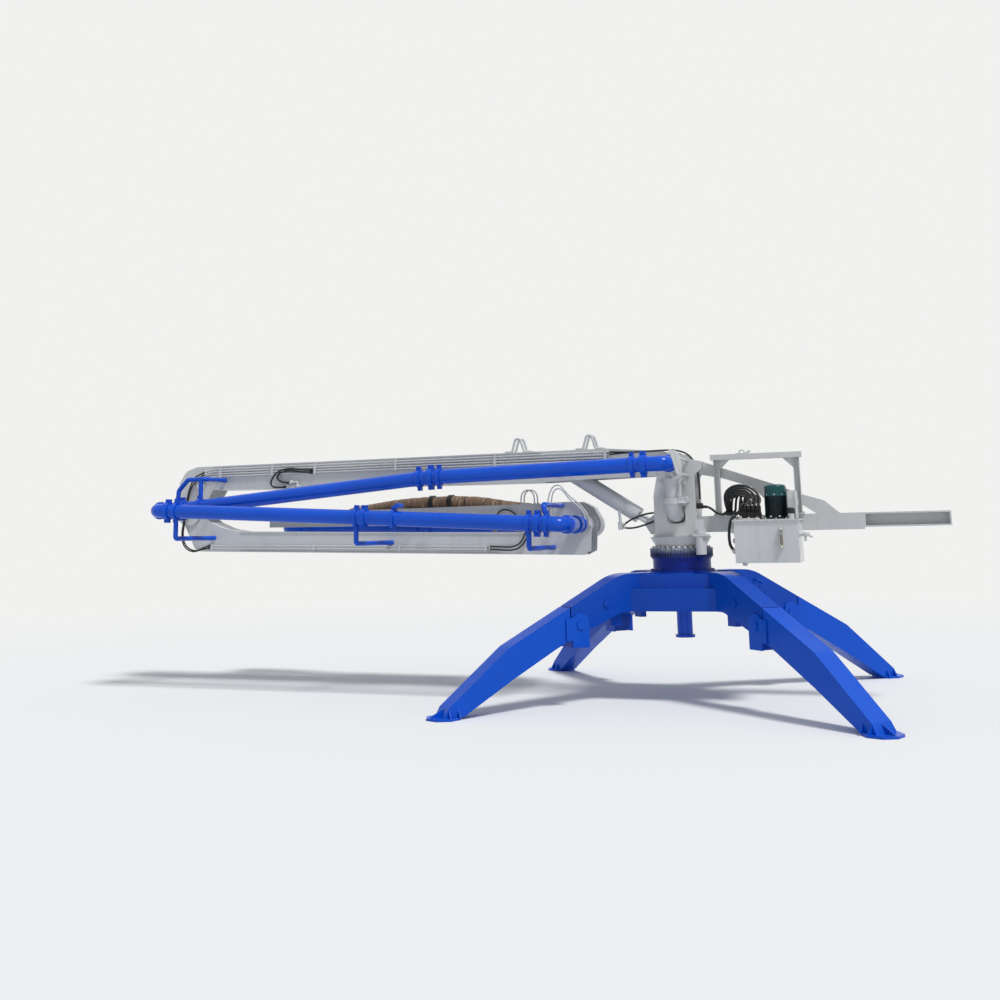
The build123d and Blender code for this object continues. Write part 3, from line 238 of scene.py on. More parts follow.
def cast_manifold():
    """Black phosphated cast iron, as on valve bodies: sandy skin under an oily, patchy film."""
    material, tree, shader, place = new_material("black_phosphated_cast_iron")
    soft, edge = rounded_edges(tree, 2.0)
    tone = layered(tree, "#1B1C1E", ("#2B2A28", patches(tree, place, 55.6, 0.4, 0.68, detail=5)),
                   ("#6E6A63", patches(tree, place, 20, 0.45, 0.6, most=edge)))
    # sand-cast grain is about 2 mm; drawn at 4 mm so that it shows
    grain = patches(tree, place, 3.85, detail=3)
    feed(tree, shader, {
        "Base Color": tone, "Roughness": patches(tree, place, 83.3, 0.35, 0.65, 0.38, 0.6), "Metallic": 0.35,
        "Normal": add(tree, "Bump", {"Height": grain, "Distance": 0.3 * MM, "Normal": soft})})
    return material


def woven_wrap():
    """Tan woven sacking wound round the hose: flat tapes over and under, a painted highlight on the crease ridges
    and painted shade in the crease troughs, under each lap and between the tapes.
    """
    material, tree, shader, place = new_material("tan_woven_sacking_wrap")
    layout = add(tree, "UVMap", {}, uv_map="wound")
    # tapes are 2.5 mm wide; 31 draws them 10 mm wide so that the weave shows
    warp, weft = (add(tree, "TexWave", {"Vector": layout, "Scale": 31.0, "Distortion": 0.6}, "Fac",
                      bands_direction=way) for way in "XY")
    weave = add(tree, "Math", {0: warp, 1: weft}, operation="MULTIPLY")
    # creases about 20 mm apart and 140 mm long, on a slant
    slanted = add(tree, "Mapping", {"Vector": layout, "Scale": (52, 7, 1), "Rotation": (0, 0, 0.18)})
    creases = add(tree, "TexNoise", {"Vector": slanted, "Scale": 1.0, "Detail": 3.0, "Roughness": 0.55})
    lap = add(tree, "SeparateColor", {0: add(tree, "Attribute", {}, "Color", attribute_name="lap")})
    # Over the cloth's own tones: painted highlight on the crease ridges, painted shade in the crease troughs, under
    # the edge of each lap and between the tapes
    tone = layered(tree, "#7E6049", ("#5C4433", patches(tree, place, 200, 0.36, 0.68, detail=5)),
                   ("#CDB695", add(tree, "MapRange", {0: creases, 1: 0.53, 2: 0.68, 4: 0.65})),
                   ("#4A3628", add(tree, "MapRange", {0: creases, 1: 0.47, 2: 0.34, 4: 0.8})),
                   ("#3F2E22", add(tree, "MapRange", {0: lap, 1: 0.84, 2: 1.0, 4: 0.8})),
                   ("#6D533D", add(tree, "MapRange", {0: weave, 1: 0.5, 2: 0.05, 4: 0.45})))
    tapes = add(tree, "Math", {0: weave, 1: 0.3}, operation="MULTIPLY")
    height = add(tree, "Math", {0: creases, 1: 0.7, 2: tapes}, operation="MULTIPLY_ADD")
    feed(tree, shader, {
        "Base Color": tone, "Roughness": patches(tree, place, 50, 0.3, 0.7, 0.66, 0.85), "Sheen Weight": 0.25,
        "Sheen Roughness": 0.5, "Normal": add(tree, "Bump", {"Height": height, "Distance": 6 * MM})})
    return material


def gauge_glass():
    """Clear acrylic column, glossy, with amber oil standing in it."""
    material, tree, shader, place = new_material("oil_level_acrylic")
    height = add(tree, "SeparateXYZ", {0: place.outputs["Object"]}, "Z")
    oil = add(tree, "MapRange", {0: height, 1: (OIL_LEVEL + 2) * MM, 2: (OIL_LEVEL - 2) * MM, 4: 0.75})
    feed(tree, shader, {
        "Base Color": layered(tree, "#A4AAA8", ("#6E5E44", oil)), "IOR": 1.49, "Coat Weight": 1.0,
        "Roughness": patches(tree, place, 16.7, 0.3, 0.7, 0.06, 0.16), "Coat Roughness": 0.03,
        "Normal": add(tree, "Bump", {"Height": patches(tree, place, 40), "Distance": 0.05 * MM})})
    return material


# Blue that keeps its colour in the light: low shine, thin dust, arrises rubbed to a greyer blue
BLUE_WEAR = {"rubbed": "#3A5688", "gloss": 0.32, "dust": 0.04, "dust_colour": "#6D7C9C", "grime": 0.03,
             "shine": 0.13}
blue_enamel = sprayed_enamel("bright_blue_sprayed_enamel", "#0450C6", "#0646AE", **BLUE_WEAR)
# A darker copy of the blue for the base frame: painted shade
shade_darkened_frame_enamel = sprayed_enamel("blue_enamel_on_frame_darkened_as_shade", "#0445B0", "#053A98", **BLUE_WEAR)
# A much darker copy of the blue for the pedestal: painted shade under the turret
shade_darkened_pedestal_enamel = sprayed_enamel("blue_enamel_darkened_as_shade_under_the_turret", "#03288C", "#032078", "#31456F", 0.38, 0.05,
                                  "#6D7C9C", 0.04, 0.13)
# Pipes are sprayed thicker and wiped by handling, so they shine more than the legs
pipe_enamel = sprayed_enamel("bright_blue_enamel_on_pipe", "#0550CC", "#0748B4", "#36507F", 0.22, 0.04, "#6D7C9C",
                             0.03, 0.2)
# Off-white that shows rain runs, dust and brown rubbed arrises
white_enamel = sprayed_enamel("off_white_sprayed_enamel", "#CBCDCD", "#BEC0C1", "#857E74", 0.36, 0.2)
# A cylinder tube is drawn smooth, so its paint shines a little more
grey_enamel = sprayed_enamel("light_grey_cylinder_enamel", "#CDD0D1", "#BCC0C2", "#6F6C66", 0.30, 0.2)
gear_enamel = oversprayed_teeth()
green_enamel = motor_enamel()
# Ground and chromed: a clear, nearly even mirror
chrome = bare_metal("hard_chromed_rod", "#D5D7D8", "#B9BCBE", 0.12, 333)
# Dipped in zinc: a soft, cloudy shine
zinc = bare_metal("zinc_plated_steel", "#C4C6C2", "#8F8F86", 0.32, 16.7)
rubber = hose_rubber()
cast_iron = cast_manifold()
sacking = woven_wrap()
acrylic = gauge_glass()

FINISH_OF = {
    blue_enamel: "leg_rear_right leg_rear_left leg_front_left leg_front_right knee_pins",
    shade_darkened_frame_enamel: "base_frame",
    shade_darkened_pedestal_enamel: "slew_pedestal",
    pipe_enamel: ("inlet_pipe boom_1_pipe boom_2_pipe boom_3_pipe pipe_1_brackets pipe_2_brackets "
                  "pipe_3_brackets"),
    white_enamel: ("turret_frame turret_ring lift_cylinder_lugs boom_foot_pin slew_drive riser_pipe counter_beam "
                   "upper_tie oil_tank tank_lid pack_frame switch_cabinet switch_cabinet_door boom_1_box "
                   "boom_1_foot boom_1_head boom_1_tubes lifting_eyes knuckle_1_pin boom_2_root boom_2_box "
                   "boom_2_head boom_2_tubes boom_3_box"),
    grey_enamel: "lift_cylinder_barrel",
    gear_enamel: "slew_ring",
    green_enamel: "electric_motor",
    cast_iron: "valve_block hose_saddles",
    chrome: "lift_cylinder_rod",
    sacking: "end_hose",
}


def put_on(obj, finish):
    """Give an object one finish all over."""
    obj.data.materials.clear()
    obj.data.materials.append(finish)


for finish, names in FINISH_OF.items():
    for name in names.split():
        put_on(nodes[name], finish)


# ---------------------------------------------------------------- making pieces

NEAR, FAR, UP = (0, -1, 0), (0, 1, 0), (0, 0, 1)


def pick(*objects):
    """Select these objects and nothing else; the first one is active."""
    bpy.ops.object.select_all(action="DESELECT")
    for obj in objects:
        obj.select_set(True)
    bpy.context.view_layer.objects.active = objects[0]


def joined(objects):
    """Several parts of one body as one object."""
    pick(*objects)
    if len(objects) > 1:
        bpy.ops.object.join()
    return bpy.context.object


def hand_over(obj, name, body, finish=None, angle=38):
    """Name a piece, give it its finish and smooth faces, and let it ride on a body named by a string; otherwise its
    place is baked into its mesh.
    """
    obj.name = name
    obj.data.name = name
    if finish:
        put_on(obj, finish)
    pick(obj)
    bpy.ops.object.transform_apply(location=True, rotation=True, scale=True)
    bpy.ops.object.shade_smooth_by_angle(angle=math.radians(angle))
    if isinstance(body, str):
        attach(obj, body)
    else:
        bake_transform(obj)
    return obj


def painted(name, body, *parts):
    """Parts joined to one piece, in the off-white of the turret and the sections."""
    return hand_over(joined(parts), name, body, white_enamel)


def turned(steps, sides=24):
    """A round part drawn up from the origin along +Z; steps are (radius, height) in millimetres."""
    bpy.ops.object.select_all(action="DESELECT")
    radius, height = steps[0]
    bpy.ops.mesh.primitive_circle_add(vertices=sides, radius=radius * MM, fill_type="NGON",
                                      location=(0, 0, height * MM))
    obj = bpy.context.object
    bpy.ops.object.transform_apply(location=True)
    bpy.ops.object.mode_set(mode="EDIT")
    bpy.ops.mesh.select_all(action="SELECT")
    for next_radius, next_height in steps[1:]:
        bpy.ops.mesh.extrude_region_move(TRANSFORM_OT_translate={"value": (0, 0, (next_height - height) * MM)})
        share = next_radius / radius
        bpy.ops.transform.resize(value=(share, share, 1), center_override=(0, 0, next_height * MM))
        radius, height = next_radius, next_height
    bpy.ops.mesh.select_all(action="SELECT")
    bpy.ops.mesh.normals_make_consistent(inside=False)
    bpy.ops.object.mode_set(mode="OBJECT")
    return obj


def block(low, high, edge=3.0):
    """A block between two corners, in millimetres off the slew axis, with its edges rounded for good."""
    bpy.ops.object.select_all(action="DESELECT")
    a, b = at(*low), at(*high)
    bpy.ops.mesh.primitive_cube_add(size=1, location=(a + b) / 2)
    obj = bpy.context.object
    obj.scale = b - a
    bpy.ops.object.transform_apply(location=True, rotation=True, scale=True)
    arris = obj.modifiers.new("arris", "BEVEL")
    arris.width = edge * MM
    arris.segments = 2
    arris.limit_method = "ANGLE"
    arris.angle_limit = math.radians(30)
    bpy.ops.object.modifier_apply(modifier="arris")
    return obj


def panelled(obj, test, rim_mm, sink_mm, each=False):
    """Sink a panel inside a rim in the faces that pass a test on centre and normal."""
    for part in (obj.data.vertices, obj.data.edges):
        part.foreach_set("select", [False] * len(part))
    for face in obj.data.polygons:
        face.select = bool(test(face.center, face.normal))
    pick(obj)
    bpy.context.tool_settings.mesh_select_mode = (False, False, True)
    bpy.ops.object.mode_set(mode="EDIT")
    bpy.ops.mesh.inset(thickness=rim_mm * MM, depth=-sink_mm * MM, use_individual=each)
    bpy.ops.object.mode_set(mode="OBJECT")
    return obj


def port_block(low, high, edge, rim, sink):
    """A block with a sunk panel on its near side, for hoses and tubes to end in."""
    return panelled(block(low, high, edge), lambda centre, normal: normal.y < -0.9, rim, sink)


def from_curve(points, kind, closed=False, **settings):
    """A mesh from one curve with the given settings; points are in metres."""
    curve = bpy.data.curves.new("run", "CURVE")
    for name, value in settings.items():
        setattr(curve, name, value)
    spline = curve.splines.new(kind)
    spline.points.add(len(points) - 1)
    for spot, point in zip(spline.points, points):
        spot.co = (*point, 1.0)
    spline.use_cyclic_u = closed
    spline.order_u = 3
    spline.use_endpoint_u = kind == "NURBS"
    obj = bpy.data.objects.new("run", curve)
    scene.collection.objects.link(obj)
    pick(obj)
    bpy.ops.object.convert(target="MESH")
    return bpy.context.object


def smooth_run(points, diameter, facets=4, steps=8, capped=True):
    """A tube along one smooth curve that the points steer."""
    return from_curve([at(*point) for point in points], "NURBS", dimensions="3D", resolution_u=steps,
                      bevel_depth=diameter / 2 * MM, bevel_resolution=facets, use_fill_caps=capped)


def cut_plate(outline, thick, edge, y):
    """A flame-cut plate with rounded arrises, its outline in x and z and its near face at y."""
    obj = from_curve([(x * MM, z * MM, 0) for x, z in outline], "POLY", True, dimensions="2D", fill_mode="BOTH",
                     extrude=(thick / 2 - edge) * MM, bevel_depth=edge * MM, bevel_resolution=1, offset=-edge * MM)
    bpy.ops.object.mode_set(mode="EDIT")
    bpy.ops.mesh.select_all(action="SELECT")
    bpy.ops.mesh.remove_doubles(threshold=1e-5)
    bpy.ops.mesh.normals_make_consistent(inside=False)
    bpy.ops.object.mode_set(mode="OBJECT")
    upright = Matrix(((1, 0, 0, 0), (0, 0, -1, 0), (0, 1, 0, 0), (0, 0, 0, 1)))
    obj.data.transform(Matrix.Translation(at(0, y + thick / 2, 0)) @ upright)
    return obj


def set_at(template, spots, keep=False):
    """Copies of a part at every spot, a point and the way its own +Z looks, joined to one object."""
    made = []
    for point, way in spots:
        copy = template.copy()
        copy.data = template.data.copy()
        turn = Vector(way).to_track_quat("Z", "Y").to_matrix().to_4x4()
        copy.data.transform(Matrix.Translation(point) @ turn)
        scene.collection.objects.link(copy)
        made.append(copy)
    if not keep:
        bpy.data.objects.remove(template)
    return joined(made)


def ring_of(radius, degrees):
    """Steps from a circle's centre to it, one for each angle."""
    return [(radius * math.cos(math.radians(d)), radius * math.sin(math.radians(d))) for d in degrees]


def hex_bolt(flats, high):
    """A hex head with chamfered corners on its washer, standing on the origin."""
    lift = 0.12 * flats
    head = turned([(flats * 0.577, lift), (flats * 0.577, lift + high * 0.8), (flats * 0.47, lift + high),
                   (flats * 0.30, lift + high), (flats * 0.30, lift + high * 0.94)], 6)
    washer = turned([(flats * 0.98, -0.3), (flats, 0.0), (flats, lift * 0.8), (flats * 0.95, lift)], 20)
    return joined([head, washer])


def crimped_end(diameter):
    """A hose's crimped sleeve and its hex nut, from the hose outwards along +Z."""
    r = diameter / 2
    sleeve = turned([(r * 1.02, -2.2 * r), (r * 1.34, -2.1 * r), (r * 1.34, -1.4 * r), (r * 1.24, -1.3 * r),
                     (r * 1.24, -0.8 * r), (r * 1.34, -0.7 * r), (r * 1.30, 0.0), (r * 0.8, 0.1 * r),
                     (r * 0.8, 0.6 * r)], 16)
    nut = turned([(r * 1.35, 0.5 * r), (r * 1.5, 0.65 * r), (r * 1.5, 1.7 * r), (r * 1.3, 1.9 * r),
                  (r * 0.6, 1.9 * r)], 6)
    return joined([sleeve, nut])


def end_spots(runs, way):
    """Both ends of every run, looking outwards where way is 1 and back along the run where it is -1."""
    spots = []
    for points in runs:
        first, second, last, before = (at(*points[i]) for i in (0, 1, -1, -2))
        spots += [(first, way * (first - second)), (last, way * (last - before))]
    return spots


def hose_set(name, body, runs, diameter, ends):
    """Rubber hoses as one piece, each run with a crimped end at both of its ends."""
    tubes = [smooth_run(points, diameter) for points in runs]
    for tube in tubes:
        put_on(tube, rubber)
    fittings = set_at(crimped_end(diameter), end_spots(runs, 1))
    put_on(fittings, ends)
    return hand_over(joined([*tubes, fittings]), name, body)


def hard_lines(name, body, runs, diameter):
    """Bent hard tubes as one painted piece, with a union nut at both ends of each."""
    r = diameter / 2
    tubes = [smooth_run(points, diameter) for points in runs]
    nut = turned([(r * 1.2, -3), (r * 1.75, -1), (r * 1.75, 2.2 * r), (r * 1.45, 2.6 * r), (r * 1.02, 2.9 * r)], 6)
    return painted(name, body, *tubes, set_at(nut, end_spots(runs, -1)))


# ---------------------------------------------------------------- hydraulic hoses and hard lines

# Pair that loops on the near face of section 1, from the tube bank to a bent tube
loop_pair = [
    [(-3800, -156, 2176), (-3905, -160, 2184), (-4060, -186, 2206), (-4190, -200, 2170), (-4262, -196, 2080),
     (-4258, -186, 2020), (-4190, -168, 2006), (-4110, -158, 2012)],
    [(-3800, -156, 2150), (-3905, -162, 2158), (-4050, -178, 2182), (-4170, -184, 2160), (-4200, -178, 2110),
     (-4160, -170, 2068), (-4100, -164, 2056), (-4062, -160, 2056)],
]
hose_set("boom_1_hose_loop", "boom_1", loop_pair, 18, cast_iron)
hard_lines("boom_1_bent_tube", "boom_1",
           [[(-4046, -164, 2056), (-3990, -164, 2057), (-3964, -164, 2057), (-3960, -164, 2052),
             (-3960, -164, 2026), (-3960, -160, 1998)]], 24)
painted("boom_1_port_block", "boom_1", port_block((-4090, -168, 1998), (-3935, -139, 2030), 4, 5, 3))

# Hoses over the first knuckle, from the tubes of section 1 down to those of section 2
KNUCKLE_1_BEND = ("boom_1", "boom_2", at(-5300, -160, 1920), at(-5300, -160, 1660))
knuckle_hoses = []
for index, z in enumerate((2202, 2228)):
    out = 16 * index
    knuckle_hoses.append([
        (-5102, -160, z - 26), (-5140, -162, z - 44), (-5205 - out, -168, z - 90 + out),
        (-5268 - out, -172, 2020), (-5292 - out, -172, 1900), (-5305 - out, -172, 1790), (-5330 - out, -170, 1660),
        (-5352 - out, -166, 1530), (-5318 - out, -160, 1420 - out), (-5215, -150, 1364 - out),
        (-5110, -136, 1385 + out), (-5035, -132, 1395 + 26 * index)])
hose_set("knuckle_1_hoses", KNUCKLE_1_BEND, knuckle_hoses, 15, cast_iron)
end_tubes = [[(-4912, -154, z), (-4980, -154, z - 1), (-5040, -157, z - 10), (-5096, -160, z - 24)]
             for z in (2202, 2228)]
end_tubes += [[(-4912, -154, z), (-5000 - out, -155, z - 1), (-5080 - out, -158, z - 14),
               (-5124 - out, -158, 2110), (-5126 - out, -158, 2078)] for z, out in ((2150, 0), (2176, 38))]
hard_lines("boom_1_end_tubes", "boom_1", end_tubes, 16)
painted("boom_1_end_port", "boom_1", port_block((-5186, -174, 2036), (-5106, -139, 2074), 4, 6, 3))

# Pair over the boom foot, from section 1 to the turret
FOOT_BEND = ("boom_1", "turret", at(-150, -100, 2190), at(150, -100, 2110))
foot_hoses = [
    [(-628, -154, 2202 + 26 * i), (-540, -160 - 8 * i, 2208 + 14 * i), (-420, -160 - 14 * i, 2214),
     (-250, -160 - 14 * i, 2217), (-110, -158 - 12 * i, 2219), (-20, -148 - 6 * i, 2220),
     (60, -132 + 6 * i, 2208), (120, -124 + 10 * i, 2180), (168, -116 + 12 * i, 2128), (202, -104 + 14 * i, 2040),
     (212, -98 + 16 * i, 1900), (211, -98 + 16 * i, 1800), (211, -98 + 16 * i, 1742)] for i in range(2)]
hose_set("boom_foot_hoses", FOOT_BEND, foot_hoses, 16, zinc)

# Loops from the turret to a port under the barrel, drawn out between the cylinder's rod and barrel
LIFT_BEND = ("lift_rod", "lift_barrel", at(-250, -90, 1580), at(-480, -90, 1580))
lift_hoses = [
    [(-214, -70, 1648), (-270, -84, 1646), (-355, -98, 1623), (-440, -104, 1590), (-486, -100, 1562),
     (-508, -94, 1548)],
    [(-214, -70, 1575), (-311, -92, 1538), (-400, -104, 1514), (-460, -102, 1510), (-490, -98, 1513),
     (-508, -94, 1518)]]
hose_set("lift_cylinder_hoses", LIFT_BEND, lift_hoses, 17, zinc)
lift_port = port_block((-566, -116, 1498), (-526, -72, 1572), 5, 7, 3)
port_neck = smooth_run([(-546, -94, 1566), (-548, -92, 1610), (-556, -78, 1650), (-566, -50, 1682)], 26)
hand_over(joined([lift_port, port_neck]), "lift_cylinder_port", "lift_barrel", grey_enamel)

# Hoses at the second knuckle: two feed section 2's cylinder, one loops on the section's far side
hose_set("boom_2_head_hoses", "boom_2",
         [[(-1470, -128, 1492), (-1472, -160, 1490), (-1486, -176, 1440), (-1530, -172, 1380),
           (-1620, -150, 1352), (-1740, -134, 1360), (-1862, -132, 1363)],
          [(-1440, -128, 1478), (-1442, -164, 1474), (-1462, -184, 1416), (-1520, -182, 1346),
           (-1620, -158, 1322), (-1740, -136, 1330), (-1862, -132, 1337)]], 15, zinc)
painted("boom_2_port_block", "boom_2", port_block((-1492, -132, 1462), (-1418, -117, 1508), 3, 6, 2))
hose_set("boom_2_hose_loop", "boom_2",
         [[(-1880, 122, 1530), (-1884, 130, 1580), (-1874, 150, 1650), (-1848, 154, 1704), (-1783, 154, 1728),
           (-1700, 154, 1700), (-1648, 150, 1640), (-1622, 132, 1570), (-1618, 124, 1518)]], 15, cast_iron)
painted("boom_2_loop_ports", "boom_2",
        *(block((x - 18, 100, z), (x + 18, 132, z + 24)) for x, z in ((-1880, 1494), (-1618, 1484))))

# Hard tubes that arch over the second knuckle, and the ports they end in
hard_lines("boom_3_arched_tubes", "boom_3",
           [[(x, 250, 1762), (x - 6, 250, 1830), (x + 14, 250, 1890), (x + 70, 250, 1918), (x + 128, 250, 1884),
             (x + 140, 250, 1820), (x + 140, 250, 1764)] for x in (-1640, -1606)], 15)
hard_lines("boom_2_head_tubes", "boom_2",
           [[(-1252 + d, -128, 1590), (-1252 + d, -132, 1690), (-1236 + d, -134, 1830),
             (-1190 + d / 2, -134, 1926 - d), (-1120, -134, 1938 - d), (-1058 - d / 2, -134, 1862),
             (-1006 - d / 2, -134, 1806 - d / 2), (-950, -134, 1770 - d), (-886 - d / 2, -134, 1700 - d / 2),
             (-846 - d, -134, 1640), (-838 - d, -134, 1560)] for d in (0, 34)], 14)
painted("boom_2_tube_ports", "boom_2",
        *(block((x, -142, z), (x + 70, -117, z + 30)) for x, z in ((-1270, 1566), (-890, 1534))))

# Valve hoses: arches from the slices to the manifold, and wider ones towards the pump
valve_runs = []
for index in range(5):
    x, inward = 690 + (index - 2) * 37, 22 * index
    valve_runs.append([
        (x, -318, 1707), (x, -318, 1752), (x - 14, -300, 1800 - 8 * index), (x - 70, -250, 1826 - 10 * index),
        (x - 130, -190, 1776), (x - 150, -140, 1690), (x - 156, -110, 1640), (x - 190, -84, 1620)])
    x = 764 - 37 * index
    valve_runs.append([
        (474 + 8 * index, -150, 1628), (462 + 10 * index, -220, 1690), (466 + 10 * index, -300, 1790 - inward / 3),
        (520 + 8 * index, -342, 1846 - inward), (600, -356 - 6 * index, 1870 - inward),
        (690 - 6 * index, -366 - 6 * index, 1852 - inward), (756 - 20 * index, -380, 1806 - inward),
        (794 - 30 * index, -410, 1740 - inward / 2), (x + 24, -452, 1700), (x + 4, -466, 1664), (x, -430, 1653)])
hose_set("valve_hoses", "turret", valve_runs, 22, cast_iron)
hose_set("tank_side_hose", "turret",
         [[(604, -420, 1585), (570, -424, 1600), (530, -430, 1570), (512, -432, 1490), (506, -432, 1400),
           (516, -428, 1320), (552, -420, 1292)]], 26, zinc)
manifold = panelled(block((180, -124, 1674), (236, -58, 1724), 5),
                    lambda centre, normal: normal.x > 0.9 or normal.z > 0.9, 8, 3)
caps = set_at(turned([(11, -1), (13, 0), (13, 14), (10, 18), (5, 18), (5, 24)], 12),
              [(at(194 + 26 * i, -124, 1699), NEAR) for i in range(2)])
hand_over(joined([manifold, caps]), "turret_manifold", "turret", cast_iron)
hose_set("manifold_hoses", "turret",
         [[(250, -78 - 26 * i, 1690), (282, -78 - 26 * i, 1690), (322, -80 - 22 * i, 1664),
           (380, -150 - 10 * i, 1618), (450, -150 - 20 * i, 1618), (520, -190 - 30 * i, 1622),
           (580, -250 - 30 * i, 1624), (640, -290 - 24 * i, 1622)] for i in range(2)], 20, cast_iron)

# ---------------------------------------------------------------- turret trim

# Guard in front of the first swivel, with a thicker rim on the side where the pipe comes in
guard = cut_plate([(46, 2176), (58, 2188), (98, 2182), (136, 2132), (146, 2050), (146, 1962), (112, 1966),
                   (94, 2006), (74, 2092)], 10, 2, -600)
guard_rim = cut_plate([(35, 2185), (46, 2194), (58, 2191), (73, 2169), (86, 2101), (114, 2000), (131, 1968),
                       (106, 1965), (90, 2006), (70, 2092), (50, 2146)], 22, 3, -610)
guard_arms = [block((118, -594, z), (140, TURRET_FACE + 1, z + 18)) for z in (1968, 2104)]
painted("swivel_guard", "turret", guard, guard_rim, *guard_arms)

# Lever clamp on the riser, its flat rod and the foot bracket below
claw = cut_plate([(-8, 1993), (6, 1999), (47, 1967), (41, 1943), (22, 1951)], 12, 2, -362)
palm = cut_plate([(-15, 1941), (28, 1964), (94, 1987), (101, 1966), (73, 1942), (26, 1921), (-11, 1926)],
                 16, 3, -366)
web = block((2, -354, 1930), (52, -322, 1958), 4)
rod = block((68, -354, 1780), (92, -338, 1962))
foot = port_block((52, -352, 1722), (140, -296, 1785), 5, 8, 10)
back = block((100, -300, 1735), (130, TURRET_FACE + 1, 1772))
painted("riser_clamp", "turret", claw, palm, web, rod, foot, back)

# Rim welded round the near plate's cut-out
rim_points = []
for corner_x, corner_z, start in ((48, 1676, 0), (-48, 1676, 90), (-48, 1580, 180), (48, 1580, 270)):
    rim_points += [at(corner_x + x, TURRET_FACE - 1, corner_z + z)
                   for x, z in ring_of(40, [start + 22.5 * step for step in range(5)])]
painted("turret_window_rim", "turret",
        from_curve(rim_points, "POLY", True, dimensions="3D", bevel_depth=5 * MM, bevel_resolution=3))

# Bolt circles of the slew bearing and of the plates that keep the hinge pins in
bearing_bolts = [(at(x, y, RING_TOP + 0.5), UP) for x, y in ring_of(254, range(0, 360, 12))]
painted("slew_bearing_bolts", "turret", set_at(hex_bolt(24, 15), bearing_bolts))
keeper_bolt = hex_bolt(17, 11)
foot_pin_bolts = [(at(x, TURRET_FACE - 10, FOOT_PIN_Z + z), NEAR) for x, z in ring_of(38, (90, 210, 330))]
hand_over(set_at(keeper_bolt, foot_pin_bolts, keep=True), "foot_pin_bolts", "turret", zinc)
knuckle_bolts = [(at(KNUCKLE_1[0] + x, 150, KNUCKLE_1[1] + z), FAR) for x, z in ring_of(34, (90, 210, 330))]
hand_over(set_at(keeper_bolt, knuckle_bolts), "knuckle_1_bolts", "boom_1", zinc)

# ---------------------------------------------------------------- power pack trim

lid_bolts = [(at(x, y, LID_TOP), UP) for x in range(TANK_LEFT + 12, TANK_RIGHT, 88)
             for y in (TANK_NEAR - 2, TANK_FAR - 14) if not (1015 < x < 1095 and y > TANK_NEAR)]
hatch_bolts = [(at(690 + 78 * x, TANK_NEAR + 62 + 28 * y, LID_TOP + 12), UP)
               for x, y in ring_of(1, (20, 90, 160, 200, 270, 340))]
hand_over(set_at(hex_bolt(13, 8), lid_bolts + hatch_bolts), "tank_lid_bolts", "turret", zinc)
breather = turned([(20, LID_TOP + 45), (30, LID_TOP + 47), (33, LID_TOP + 54), (33, LID_TOP + 84),
                   (29, LID_TOP + 92), (12, LID_TOP + 95)], 28)
breather.data.transform(Matrix.Translation(at(1052, TANK_NEAR + 50, 0)))
panelled(breather, lambda centre, normal: abs(normal.z) < 0.2 and LID_TOP + 54 < centre.z / MM < LID_TOP + 84,
         1.2, 1.5, each=True)
hand_over(breather, "filler_breather", "turret", cast_iron)

gauge_x, gauge_low, gauge_high = 965, 1330, 1470
glass = turned([(7, gauge_low), (9, gauge_low + 2), (9, gauge_high - 2), (7, gauge_high)], 20)
glass.data.transform(Matrix.Translation(at(gauge_x, TANK_NEAR - 18, 0)))
hand_over(glass, "level_gauge_glass", "turret", acrylic)
cage = [block((gauge_x - 14, TANK_NEAR - 30, z - 13), (gauge_x + 14, TANK_NEAR - 9, z + 13), 4)
        for z in (gauge_low - 6, gauge_high + 6)]
cage += [block((gauge_x + x - 2, TANK_NEAR - 28, gauge_low - 4), (gauge_x + x + 2, TANK_NEAR - 12, gauge_high + 4),
               0.8) for x in (-12, 12)]
banjo = set_at(hex_bolt(15, 8), [(at(gauge_x, TANK_NEAR - 30, z), NEAR) for z in (gauge_low - 6, gauge_high + 6)])
hand_over(joined([*cage, banjo]), "level_gauge_mount", "turret", zinc)

# Tap on the tank's right wall, fittings on its left one and the drain plug under it
tap_x, tap_z = TANK_RIGHT + 50, 1428
tap = turned([(26, -1), (26, 8), (17, 10), (17, 34), (23, 36), (23, 64), (16, 66), (16, 84), (12, 88)], 20)
spindle = turned([(9, 0), (9, 26), (6, 28), (6, 36)], 14)
lever = cut_plate([(tap_x - 8, 1438), (tap_x + 10, 1440), (tap_x + 62, 1412), (tap_x + 68, 1398),
                   (tap_x + 54, 1398), (tap_x - 6, 1420)], 6, 1.5, -512)
drop = smooth_run([(tap_x, -452, 1420), (tap_x, -452, 1396), (tap_x, -452, 1368)], 24)
for part, place, axis in ((tap, at(TANK_RIGHT, -452, tap_z), "Y"), (spindle, at(tap_x, -474, tap_z), "X")):
    part.data.transform(Matrix.Translation(place) @ Matrix.Rotation(math.radians(90), 4, axis))
painted("tank_tap", "turret", tap, spindle, lever, drop)
side_spots = [(at(TANK_LEFT, y, z), (-1, 0, 0)) for y, z in ((-420, 1292), (-470, 1470), (-350, 1380))]
painted("tank_side_fittings", "turret",
        set_at(turned([(34, -1), (34, 10), (22, 12), (22, 30), (17, 34)]), side_spots))
drain = turned([(20, -24), (22, -20), (22, -8), (30, -6), (30, 1)], 6)
drain.data.transform(Matrix.Translation(at(640, -470, TANK_BOTTOM)))
painted("tank_drain_plug", "turret", drain)

